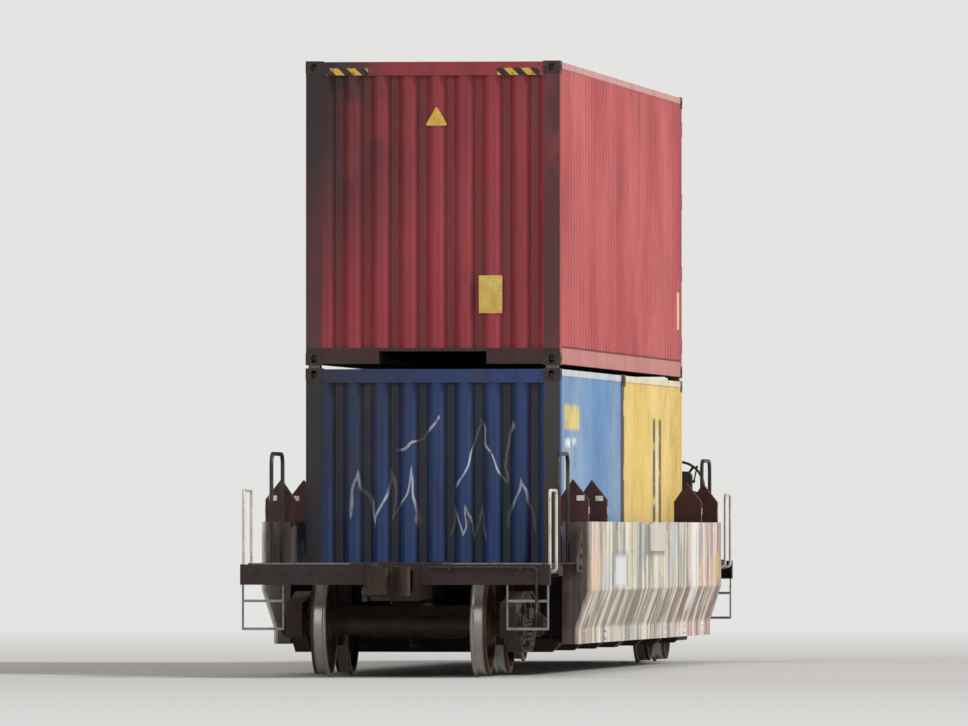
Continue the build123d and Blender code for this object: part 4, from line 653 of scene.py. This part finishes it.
def lump(shape, corner, other, chamfer=0.0):
    """A block between two opposite corners, with its edges chamfered."""
    corner, other = Vector(corner), Vector(other)
    size = [abs(b - a) for a, b in zip(corner, other)]
    bit = bmesh.new()
    bmesh.ops.create_cube(bit, size=1.0, matrix=Matrix.Diagonal((*size, 1.0)))
    if chamfer:
        bmesh.ops.bevel(
            bit, geom=bit.edges[:], offset=chamfer, segments=1, profile=0.5, affect="EDGES", material=-1,
        )
    join(shape, bit, Matrix.Translation((corner + other) / 2))


def bar(shape, start, end, radius, sides=12, tip=None):
    """A round bar, or a cone where it has a tip radius."""
    start, end = Vector(start), Vector(end)
    bit = bmesh.new()
    bmesh.ops.create_cone(
        bit, cap_ends=True, segments=sides, radius1=radius, radius2=radius if tip is None else tip,
        depth=(end - start).length,
    )
    join(shape, bit, Matrix.Translation((start + end) / 2) @ upright(end - start))


def ball(shape, centre, radius):
    bit = bmesh.new()
    bmesh.ops.create_icosphere(bit, subdivisions=2, radius=radius)
    join(shape, bit, Matrix.Translation(centre))


def screw_pattern():
    """A hexagon head on its washer, one across, standing on z = 0."""
    shape = bmesh.new()
    bar(shape, (0, 0, -0.08), (0, 0, 0.1), 0.8, 10)
    bar(shape, (0, 0, 0), (0, 0, 0.5), 0.58, 6)
    mesh = bpy.data.meshes.new("screw_pattern")
    shape.to_mesh(mesh)
    shape.free()
    return mesh


def screw(shape, at, way, across=0.036):
    """Stamps a hexagon head on the face at a point, pointing along way."""
    stamp(shape, screw_mesh, Matrix.Translation(at) @ upright(way) @ Matrix.Scale(across, 4))


def bar_end(reach, lift, radius, sides):
    """A small shape that holds only a bar's end circle, upright at a reach from the axis, and that circle."""
    bit = bmesh.new()
    start = Matrix.Translation((reach, 0, lift)) @ Matrix.Rotation(math.pi / 2, 4, "X")
    bmesh.ops.create_circle(bit, segments=sides, radius=radius, matrix=start)
    return bit, bit.verts[:] + bit.edges[:]


def hoop(shape, centre, axis, reach, thick, steps=24, sides=8):
    """A closed ring of round bar."""
    bit, rim = bar_end(reach, 0.0, thick, sides)
    bmesh.ops.spin(
        bit, geom=rim, cent=(0, 0, 0), axis=(0, 0, 1), angle=2 * math.pi, steps=steps, use_merge=True,
    )
    join(shape, bit, Matrix.Translation(centre) @ upright(axis))


def coil(shape, reach, wire, height, turns):
    """A helical spring that stands on z = 0, with a flat turn at each end."""
    bit, rim = bar_end(reach, wire, wire, 8)
    steps = 18
    rise = (height - 2 * wire) / round(turns * steps)
    flat_turn = (0.9, 0.0)
    for share, lift in (flat_turn, (turns, rise), flat_turn):
        count = round(share * steps)
        made = bmesh.ops.spin(
            bit, geom=rim, cent=(0, 0, 0), axis=(0, 0, 1), dvec=(0, 0, lift),
            angle=2 * math.pi * count / steps, steps=count,
        )
        rim = made["geom_last"]
    bmesh.ops.holes_fill(bit, edges=[e for e in bit.edges if e.is_boundary], sides=0)
    join(shape, bit)


screw_mesh = screw_pattern()


def make_piece(name, shape, material, body):
    """Turns a finished bmesh into a piece that rides on a body, smooth over its shallow edges."""
    bmesh.ops.recalc_face_normals(shape, faces=shape.faces)
    for edge in shape.edges:
        edge.smooth = edge.is_manifold and edge.calc_face_angle() < math.radians(38)
    for face in shape.faces:
        face.smooth = True
    mesh = bpy.data.meshes.new(name)
    shape.to_mesh(mesh)
    shape.free()
    mesh.materials.append(material)
    piece = bpy.data.objects.new(name, mesh)
    bpy.context.scene.collection.objects.link(piece)
    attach(piece, body)
    return piece


# Trucks: real helical springs, friction wedges, column bolts and blank cast pads
def truck_pieces(end, way):
    middle_x = way * truck_x
    seat_z = rail + 0.300
    spring_height = 0.220
    nest_dx, nest_dy = 0.14, 0.053
    nest = bmesh.new()
    for reach, wire, turns in ((0.040, 0.012, 4.4), (0.0185, 0.0068, 6.4)):
        coil(nest, reach, wire, spring_height, turns)
    nest_mesh = bpy.data.meshes.new("spring_nest")
    nest.to_mesh(nest_mesh)
    nest.free()
    shape = bmesh.new()
    for y in (-bearing_y - nest_dy, -bearing_y + nest_dy, bearing_y - nest_dy, bearing_y + nest_dy):
        for dx in (-nest_dx, 0.0, nest_dx):
            stamp(shape, nest_mesh, Matrix.Translation((middle_x + dx, y, seat_z)))
    piece = make_piece(f"coil_springs_{end}", shape, paints["spring"], f"truck_{end}")
    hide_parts(f"truck_{end}_springs")
    shape = bmesh.new()
    for side in (-1, 1):
        face_y = side * (bearing_y + 0.075)
        for step in (-1, 1):
            # Friction wedge between bolster and column
            wedge_x = middle_x + step * 0.2125
            half_thick, half_wide = 0.0122, 0.085
            lump(
                shape, (wedge_x - half_thick, side * bearing_y - half_wide, rail + 0.405),
                (wedge_x + half_thick, side * bearing_y + half_wide, rail + 0.60), 0.003,
            )
            column_x = middle_x + step * 0.262
            for z in (rail + 0.40, rail + 0.50, rail + 0.60):
                screw(shape, (column_x, face_y, z), (0, side, 0), 0.034)
            pedestal_x = middle_x + step * 1.052
            for z in (rail + 0.395, rail + 0.56):
                screw(shape, (pedestal_x, face_y, z), (0, side, 0), 0.03)
            # Blank cast pad on the frame's upper member
            pad_x = middle_x + step * 0.36
            lump(
                shape, (pad_x - 0.05, face_y - 0.004, rail + 0.752),
                (pad_x + 0.05, face_y + 0.004, rail + 0.770), 0.002,
            )
        # And one at its middle
        lump(
            shape, (middle_x - 0.09, face_y - 0.03, rail + 0.715),
            (middle_x + 0.09, face_y - 0.018, rail + 0.745), 0.003,
        )
    make_piece(f"truck_fittings_{end}", shape, paints["cast"], f"truck_{end}")


# Roller bearing end caps: three screws under a locking plate, a grease plug and the seal's lip
def bearing_cap(end, way, place, step):
    x = way * (truck_x + step * half_truck)
    cap_y, seal_y = 1.142, 1.108
    seal_reach, screw_reach, plate_reach = 0.096, 0.046, 0.064
    shape = bmesh.new()
    for side in (-1, 1):
        face_y = side * cap_y
        plate_y = face_y + side * 0.004
        bar(shape, (x, face_y - side * 0.002, axle_z), (x, plate_y, axle_z), plate_reach, 3)
        for turn in (0, 1, 2):
            angle = math.radians(90 + 120 * turn)
            at = (x + screw_reach * math.cos(angle), plate_y, axle_z + screw_reach * math.sin(angle))
            screw(shape, at, (0, side, 0), 0.032)
        bar(shape, (x, face_y, axle_z), (x, face_y + side * 0.012, axle_z), 0.012, 12, 0.008)
        hoop(shape, (x, side * seal_y, axle_z), (0, 1, 0), seal_reach, 0.004, 32, 6)
    make_piece(f"bearing_caps_{end}_{place}", shape, paints["cap"], f"wheelset_{end}_{place}")


# Welded bar gratings of the walkways, bearing bars 34 mm apart on cross rods
def deck_gratings():
    shape = bmesh.new()
    in_x, out_x, in_y, out_y = 7.83, 9.14, 0.43, 1.37
    low_z = deck_z - 0.040
    edge, half_bar, half_rod = 0.006, 0.0025, 0.004
    bearing_bars, cross_rods = 38, 9
    for _, way in ends:
        for side in (-1, 1):
            for x in (in_x, out_x - edge):
                lump(shape, (way * x, side * in_y, low_z), (way * (x + edge), side * out_y, deck_z))
            for y in (in_y, out_y - edge):
                lump(shape, (way * in_x, side * y, low_z), (way * out_x, side * (y + edge), deck_z))
            for i in range(1, bearing_bars):
                x = way * (in_x + (out_x - in_x) * i / bearing_bars)
                lump(
                    shape, (x - half_bar, side * in_y, low_z + 0.004),
                    (x + half_bar, side * out_y, deck_z - 0.001),
                )
            for i in range(1, cross_rods):
                y = side * (in_y + (out_y - in_y) * i / cross_rods)
                lump(
                    shape, (way * in_x, y - half_rod, deck_z - 0.010),
                    (way * out_x, y + half_rod, deck_z - 0.002),
                )
    piece = make_piece("deck_gratings", shape, paints["galvanised"], "car_body")
    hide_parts("walkways")


# Long container's doors: rubber gaskets, lock rod cams and guides, handle hubs and catches, hinge bolts
def door_pieces(hand, side):
    body = f"red_door_{hand}"
    outer_x = door_front_x - 0.006
    # The gasket's lower and upper run, the one at the middle of the doorway and the one at the hinges
    rows = (
        ((0.002, door_low - 0.004), (door_edge_y + 0.003, door_low + 0.014)),
        ((0.002, door_high - 0.014), (door_edge_y + 0.003, door_high + 0.004)),
        ((0.002, door_low - 0.004), (0.018, door_high + 0.004)),
        ((door_edge_y - 0.014, door_low - 0.004), (door_edge_y + 0.003, door_high + 0.004)),
    )
    shape = bmesh.new()
    for (y0, z0), (y1, z1) in rows:
        lump(shape, (outer_x, side * y0, z0), (door_front_x + 0.004, side * y1, z1), 0.002)
    make_piece(f"door_gaskets_{hand}", shape, paints["rubber"], body)
    shape = bmesh.new()
    rod_x = door_front_x - 0.023
    catch_x = rod_x - 0.016
    handle_height, handle_step, handle_length = 0.98, 0.04, 0.335
    for rod_y, turn in zip(rod_places, (-1, 1)):
        y = side * rod_y
        for low_z, high_z, cam_z in (
            (red_base + 0.118, door_low + 0.02, red_base + 0.126),
            (door_high - 0.02, door_high + 0.050, door_high + 0.044),
        ):
            lump(shape, (rod_x - 0.026, y - 0.015, low_z), (rod_x - 0.004, y + 0.015, high_z), 0.003)
            bar(shape, (catch_x, y - 0.017, cam_z), (catch_x, y + 0.017, cam_z), 0.0105)
        handle_z = door_low + handle_height + turn * handle_step
        bar(shape, (rod_x, y, handle_z - 0.032), (rod_x, y, handle_z + 0.032), 0.024, 16)
        bar(shape, (rod_x - 0.03, y, handle_z), (rod_x + 0.03, y, handle_z), 0.009, 8)
        end_y = y + side * turn * handle_length
        # The catch reaches into the pressed sheet, which lies deeper behind the outer rod's handle
        lump(
            shape, (door_front_x - 0.012, end_y - 0.03, handle_z - 0.055),
            (door_front_x + 0.016 - turn * 0.007, end_y + 0.03, handle_z + 0.055), 0.004,
        )
        for dz in (-0.028, 0.026):
            lump(
                shape, (rod_x - 0.018, end_y - 0.022, handle_z + dz - 0.006),
                (door_front_x - 0.004, end_y + 0.022, handle_z + dz + 0.006), 0.002,
            )
        hoop(shape, (rod_x - 0.022, end_y, handle_z + 0.034), (0, 1, 0), 0.011, 0.003, 14, 6)
        for z in (door_low + 0.06, door_low + 0.70, door_high - 0.70, door_high - 0.06):
            for dy in (-0.026, 0.026):
                screw(shape, (catch_x, y + dy, z), (-1, 0, 0), 0.014)
    low_hinge, hinge_spacing = 0.33, 0.7453
    for level in range(4):
        z = red_base + low_hinge + level * hinge_spacing
        for y in (1.095, 1.145):
            for dz in (-0.024, 0.024):
                screw(shape, (door_front_x - 0.0095, side * y, z + dz), (-1, 0, 0), 0.018)
    make_piece(f"door_fittings_{hand}", shape, paints["zinc"], body)


# Bare signs of the long container: hatched strips on the front header, a triangle, a plate and a side label
def red_signs():
    face_x = red_half - 0.006
    shape = bmesh.new()
    for side in (-1, 1):
        lump(
            shape, (face_x - 0.001, side * 0.62, red_top - 0.135),
            (face_x + 0.003, side * 1.02, red_top - 0.068),
        )
    make_piece("hatched_height_strips", shape, paints["hatched"], "car_body")
    shape = bmesh.new()
    wall_x = face_x - 0.0125
    triangle_reach, triangle_y, triangle_z, corner = 0.124, 0.035, 5.29, 0.022
    bit = bmesh.new()
    bmesh.ops.create_cone(
        bit, cap_ends=True, segments=3, radius1=triangle_reach, radius2=triangle_reach, depth=0.003,
    )
    # Its three corners are the only edges as short as it is thick
    corners = [edge for edge in bit.edges if edge.calc_length() < 0.01]
    bmesh.ops.bevel(bit, geom=corners, offset=corner, segments=3, profile=0.5, affect="EDGES", material=-1)
    turn = Matrix.Rotation(math.pi / 2, 4, "X") @ Matrix.Rotation(math.pi / 2, 4, "Y")
    join(shape, bit, Matrix.Translation((wall_x, triangle_y, triangle_z)) @ turn)
    plate_near, plate_far, plate_low, plate_high = 0.664, 0.44, 3.44, 3.80
    lump(shape, (wall_x - 0.001, plate_far, plate_low), (wall_x + 0.003, plate_near, plate_high), 0.0008)
    make_piece("bare_yellow_signs", shape, paints["sign"], "car_body")
    shape = bmesh.new()
    label_rear, label_front, label_low, label_high = -5.82, -5.58, red_base + 0.49, red_base + 0.88
    lump(shape, (label_rear, 1.2095, label_low), (label_front, 1.2125, label_high), 0.0006)
    make_piece("bare_side_label", shape, paints["label"], "car_body")


# Small ventilators in the pressed side walls, a louvred cover each on a neck in the recess of the sheet
def side_vents(colour, places, top_z):
    shape = bmesh.new()
    z = top_z - 0.24
    half_neck, half_cover, half_slat, slat_spacing = 0.034, 0.062, 0.046, 0.022
    for x in places:
        for side in (-1, 1):
            neck_y, back_y, face_y, lip_y = (side * y for y in (1.173, 1.1895, 1.201, 1.206))
            lump(shape, (x - half_neck, neck_y, z - 0.048), (x + half_neck, back_y + side * 0.001, z + 0.048))
            lump(shape, (x - half_cover, back_y, z - 0.055), (x + half_cover, face_y, z + 0.055), 0.004)
            for row in range(4):
                slat_z = z - 0.034 + row * slat_spacing
                lump(
                    shape, (x - half_slat, face_y - side * 0.001, slat_z),
                    (x + half_slat, lip_y, slat_z + 0.008), 0.002,
                )
    make_piece(f"{colour}_side_vents", shape, paints[f"{colour}_side"], "car_body")


# Roof corner plates that take the knocks of crane hooks, the gutter over the doors and strips on the sill
def box_plates():
    shape = bmesh.new()
    for way in (-1, 1):
        for side in (-1, 1):
            lump(
                shape, (way * 5.62, side * 0.95, red_top - 0.0105),
                (way * 5.915, side * 1.165, red_top - 0.005), 0.001,
            )
    back_x = -red_half + 0.042
    lump(shape, (-red_half + 0.020, -1.02, red_top - 0.034), (back_x, 1.02, red_top - 0.024), 0.002)
    for z in (red_base + 0.03, red_base + 0.145):
        lump(shape, (-red_half + 0.034, -1.05, z - 0.004), (back_x, 1.05, z + 0.004), 0.001)
    make_piece("red_box_plates", shape, paints["red_rear"], "car_body")


# Lashing rings along the long container's floor, each hanging from a stud in the wall
def lashing_rings():
    shape = bmesh.new()
    first_x, spacing = -5.2, 1.15
    stud_z, ring_reach = 3.165, 0.022
    for side in (-1, 1):
        for i in range(10):
            x = first_x + i * spacing
            bar(shape, (x, side * 1.158, stud_z), (x, side * 1.130, stud_z), 0.012, 8)
            hoop(shape, (x, side * 1.134, stud_z - ring_reach), (0, 1, 0), ring_reach, 0.005, 16, 6)
    make_piece("lashing_rings", shape, paints["zinc"], "car_body")


# A plate lies on each well side under the chord, at mid length between two ribs
def side_plates():
    shape = bmesh.new()
    half_plate, sunk, thick = 0.74, 0.0005, 0.010
    for side in (-1, 1):
        lump(
            shape, (-half_plate, side * (side_y - sunk), side_top - 0.29),
            (half_plate, side * (side_y + thick), side_top - 0.05), 0.002,
        )
    make_piece("well_side_plates", shape, paints["well_side"], "car_body")


# White and amber reflectors on the container guides
def guide_reflectors():
    shape = bmesh.new()
    amber = bmesh.new()
    white_low, amber_low, half_amber = 1.655, 1.53, 0.035
    for x in guide_places:
        way = 1 if x > 0 else -1
        for side in (-1, 1):
            lump(
                shape, (x + way * 0.054, side * 1.43, white_low),
                (x + way * 0.0585, side * 1.505, white_low + 0.05), 0.0015,
            )
            lump(
                amber, (x - half_amber, side * 1.539, amber_low),
                (x + half_amber, side * 1.545, amber_low + 2 * half_amber), 0.0015,
            )
    make_piece("guide_reflectors", shape, paints["reflector"], "car_body")
    make_piece("guide_side_reflectors", amber, paints["amber"], "car_body")


# Bolts of the car: end gussets, rail feet, end sills, striker plates, decks, foot strips at the bearers
def car_bolts():
    shape = bmesh.new()
    gusset_y, leg_y, end_sill_x, striker_x, striker_y, deck_y = 1.475, 1.36, 9.25, 9.284, 0.215, 0.25
    gusset_bolts = ((6.72, 1.02), (6.82, 1.02), (6.92, 1.02), (6.72, 1.13), (6.80, 1.13), (6.72, 1.24))
    for _, way in ends:
        for side in (-1, 1):
            for x, z in gusset_bolts:
                screw(shape, (way * x, side * gusset_y, z), (0, side, 0), 0.032)
            for leg_x in (6.74, 7.60):
                for dx in (-0.032, 0.032):
                    screw(shape, (way * leg_x + dx, side * leg_y, deck_z + 0.008), (0, 0, 1), 0.02)
            for y in (0.55, 0.80, 1.05, 1.30):
                screw(shape, (way * end_sill_x, side * y, deck_z - 0.10), (way, 0, 0), 0.026)
            for z in (rail + 0.72, rail + 0.80, rail + 0.94, rail + 1.02):
                screw(shape, (way * striker_x, side * striker_y, z), (way, 0, 0), 0.03)
            for x in (7.16, 7.30, 7.44, 7.96, 8.10):
                screw(shape, (way * x, side * deck_y, deck_z), (0, 0, 1), 0.028)
    make_piece("car_bolts", shape, paints["frame"], "car_body")
    shape = bmesh.new()
    for bearer_x in (-6.035, -4.0, -2.0, 0.0, 2.0, 4.0, 6.035):
        for side in (-1, 1):
            for dx in (-0.05, 0.05):
                for z in (rail + 0.31, rail + 0.38):
                    screw(shape, (bearer_x + dx, side * heel_y, z), (0, side, 0), 0.024)
    make_piece("foot_strip_bolts", shape, paints["well_side"], "car_body")


# Rigid brake pipes on the rear deck, with screwed elbows at their corners
def brake_pipes():
    shape = bmesh.new()
    pipe, elbow, collar, nut = 0.0135, 0.021, 0.0205, 0.024
    # Each run's corners: along the car, across it and above the deck
    runs = (
        ((-7.47, -0.62, 0.24), (-7.24, -0.62, 0.24)),
        (
            (-7.47, -0.50, 0.07), (-7.33, -0.50, 0.07), (-7.33, 0.62, 0.07), (-7.33, 0.62, 0.175),
            (-7.18, 0.62, 0.175),
        ),
        ((-7.64, -0.56, 0.10), (-7.74, -0.56, 0.10), (-7.74, -0.56, -0.02)),
        ((-7.64, -0.50, 0.22), (-7.78, -0.50, 0.22), (-7.78, -0.30, 0.22), (-7.78, -0.30, -0.02)),
    )
    for run in runs:
        points = [Vector((x, y, deck_z + z)) for x, y, z in run]
        for start, end in zip(points, points[1:]):
            bar(shape, start, end, pipe)
        for before, at, after in zip(points, points[1:], points[2:]):
            ball(shape, at, elbow)
            for other in (before, after):
                way = (other - at).normalized()
                bar(shape, at, at + way * 0.034, collar)
        for at, other in ((points[0], points[1]), (points[-1], points[-2])):
            way = (other - at).normalized()
            bar(shape, at, at + way * 0.026, nut, 6)
    for y in (-0.35, 0.05, 0.40):
        lump(shape, (-7.35, y - 0.014, deck_z - 0.002), (-7.31, y + 0.014, deck_z + 0.088), 0.003)
    make_piece("brake_pipes", shape, paints["brake"], "car_body")


# Hand brake: pull rod in its clevis, release lever with a knob, cover bolts, hub nut and foot bolts
def hand_brake_parts():
    shape = bmesh.new()
    hub_y, hub_z = 0.95, deck_z + 0.76
    rod_x, lever_x = -8.395, -8.42
    pivot_z, knob_y = hub_z + 0.06, 1.150
    for dy in (-0.11, 0.11):
        for dz in (-0.125, 0.125):
            screw(shape, (-8.47, hub_y + dy, hub_z + dz), (-1, 0, 0), 0.022)
    bar(shape, (rod_x, hub_y, hub_z - 0.15), (rod_x, hub_y, deck_z + 0.03), 0.011, 10)
    lump(
        shape, (rod_x - 0.017, hub_y - 0.025, deck_z + 0.004),
        (rod_x + 0.017, hub_y + 0.025, deck_z + 0.07), 0.004,
    )
    bar(shape, (rod_x, hub_y - 0.035, deck_z + 0.045), (rod_x, hub_y + 0.035, deck_z + 0.045), 0.009, 10)
    bar(shape, (lever_x, 1.095, pivot_z), (lever_x, 1.13, pivot_z), 0.016)
    bar(shape, (lever_x, 1.118, pivot_z), (lever_x, knob_y, hub_z + 0.21), 0.008, 10)
    ball(shape, (lever_x, knob_y, hub_z + 0.213), 0.015)
    screw(shape, (-8.545, hub_y, hub_z), (-1, 0, 0), 0.034)
    for y in (0.85, 1.05):
        for foot_x in (-8.235, -8.385):
            screw(shape, (foot_x, y, deck_z + 0.012), (0, 0, 1), 0.024)
    make_piece("hand_brake_parts", shape, paints["brake"], "car_body")


# Couplers: knuckle pin's ends with a cotter, lock lifter and its ring, cast ribs and pad
def coupler_pieces(end, way):
    shape = bmesh.new()
    pin_x, pin_y = way * 9.73, -way * 0.135
    lifter_x, rib_x, pad_x, pad_y = way * 9.52, way * 9.18, way * 9.60, way * 0.02
    top_z, low_z = coupler_z + 0.150, coupler_z - 0.150
    bar(shape, (pin_x, pin_y, top_z - 0.006), (pin_x, pin_y, top_z + 0.012), 0.034, 16, 0.024)
    bar(shape, (pin_x, pin_y, low_z + 0.004), (pin_x, pin_y, low_z - 0.010), 0.026, 16, 0.018)
    bar(shape, (pin_x - 0.036, pin_y, low_z + 0.006), (pin_x + 0.036, pin_y, low_z + 0.006), 0.0045, 8)
    lump(
        shape, (lifter_x - 0.03, -0.022, coupler_z - 0.165),
        (lifter_x + 0.03, 0.022, coupler_z - 0.132), 0.005,
    )
    hoop(shape, (lifter_x, 0.0, coupler_z - 0.182), (0, 1, 0), 0.020, 0.007, 18, 8)
    for dz in (-0.05, 0.05):
        lump(
            shape, (rib_x - 0.16, -0.068, coupler_z + dz - 0.008),
            (rib_x + 0.16, 0.068, coupler_z + dz + 0.008), 0.004,
        )
    lump(
        shape, (pad_x - 0.06, pad_y - 0.045, coupler_z + 0.131),
        (pad_x + 0.06, pad_y + 0.045, coupler_z + 0.141), 0.004,
    )
    make_piece(f"coupler_fittings_{end}", shape, paints["cast"], f"coupler_{end}")


for end, way in ends:
    truck_pieces(end, way)
    coupler_pieces(end, way)
    for place, step in (("outer", 1), ("inner", -1)):
        bearing_cap(end, way, place, step)
for hand, side in (("left", 1), ("right", -1)):
    door_pieces(hand, side)
deck_gratings()
red_signs()
side_vents("red", (-5.456, 5.544), red_top)
side_vents("blue", (0.694, 5.532), low_top)
side_vents("yellow", (-5.452, -0.614), low_top)
box_plates()
lashing_rings()
side_plates()
guide_reflectors()
car_bolts()
brake_pipes()
hand_brake_parts()


# Stage: a pale floor that fades into the backdrop far off, soft suns and a plain sky
def stage_floor():
    shape = bmesh.new()
    floor_radius, fade_start, fade_end = 900.0, 14.0, 60.0
    bmesh.ops.create_circle(shape, cap_ends=True, segments=96, radius=floor_radius)
    mesh = bpy.data.meshes.new("floor")
    shape.to_mesh(mesh)
    shape.free()
    floor = bpy.data.objects.new("floor", mesh)
    bpy.context.scene.collection.objects.link(floor)
    made, tree, place = new_material("matt_pale_studio_floor", 0.9)
    shader = tree.nodes["Principled BSDF"]
    shader.inputs["Base Color"].default_value = linear("#D9D8D5")
    distance = put(tree, "VectorMath", place, out="Value", operation="LENGTH")
    rays = put(tree, "LightPath").node.outputs
    seen = put(tree, "Math", rays["Is Camera Ray"], rays["Is Glossy Ray"], operation="MAXIMUM")
    faded = product(tree, put(tree, "MapRange", distance, fade_start, fade_end), seen)
    glow = put(tree, "Emission", linear(backdrop), 1.0)
    mixed = put(tree, "MixShader", faded, shader.outputs[0], glow)
    tree.links.new(mixed, tree.nodes["Material Output"].inputs["Surface"])
    mesh.materials.append(made)


def lamp(name, way, strength, angle):
    light = bpy.data.lights.new(name, "SUN")
    light.energy = strength
    light.angle = math.radians(angle)
    obj = bpy.data.objects.new(name, light)
    obj.rotation_euler = Vector(way).to_track_quat("Z", "Y").to_euler()
    bpy.context.scene.collection.objects.link(obj)


def stage_lights():
    lamp("key", (0.10, 0.86, 0.55), 2.1, 14)
    lamp("fill", (0.92, -0.25, 0.45), 0.55, 40)
    world = bpy.data.worlds.new("studio")
    bpy.context.scene.world = world
    world.use_nodes = True
    tree = world.node_tree
    tree.nodes.clear()
    soft = put(tree, "Background", linear("#FFFFFF"), 0.42)
    seen = put(tree, "Background", linear(backdrop), 1.0)
    rays = put(tree, "LightPath").node.outputs
    shown = put(tree, "Math", rays["Is Camera Ray"], rays["Is Transmission Ray"], operation="MAXIMUM")
    mixed = put(tree, "MixShader", shown, soft, seen)
    tree.links.new(mixed, tree.nodes.new("ShaderNodeOutputWorld").inputs["Surface"])


def stage_camera():
    """The photograph's eye point, 15.8 m to the near side and 1.33 m above the rail, framed on this car."""
    eye = Vector((146.1, 15.8, rail + 1.33))
    low, high = (Vector(c) for c in cad_box)
    corners = [Vector((x, y, z)) for x in (low.x, high.x) for y in (low.y, high.y) for z in (low.z, high.z)]
    aim = (low + high) / 2
    frame_width, frame_height, margin, sensor = 968, 726, 0.87, 36.0
    # Each pass turns the camera to the middle of what it sees
    for _ in range(4):
        away = (eye - aim).normalized()
        right = Vector((0, 0, 1)).cross(away).normalized()
        up = away.cross(right)
        seen = [
            ((c - eye).dot(right) / (eye - c).dot(away), (c - eye).dot(up) / (eye - c).dot(away))
            for c in corners
        ]
        spans = [(min(values), max(values)) for values in zip(*seen)]
        reach = (eye - aim).length / 2
        aim += right * sum(spans[0]) * reach + up * sum(spans[1]) * reach
    need = max((b - a) / side for (a, b), side in zip(spans, (frame_width, frame_height)))
    data = bpy.data.cameras.new("camera")
    data.sensor_width = sensor
    data.lens = margin / need * sensor / frame_width
    data.clip_end = 3000.0
    camera = bpy.data.objects.new("camera", data)
    camera.location = eye
    camera.rotation_euler = away.to_track_quat("Z", "Y").to_euler()
    bpy.context.scene.collection.objects.link(camera)
    bpy.context.scene.camera = camera


backdrop = "#E4E4E2"
stage_floor()
stage_lights()
stage_camera()
bpy.context.scene.view_settings.view_transform = "Standard"
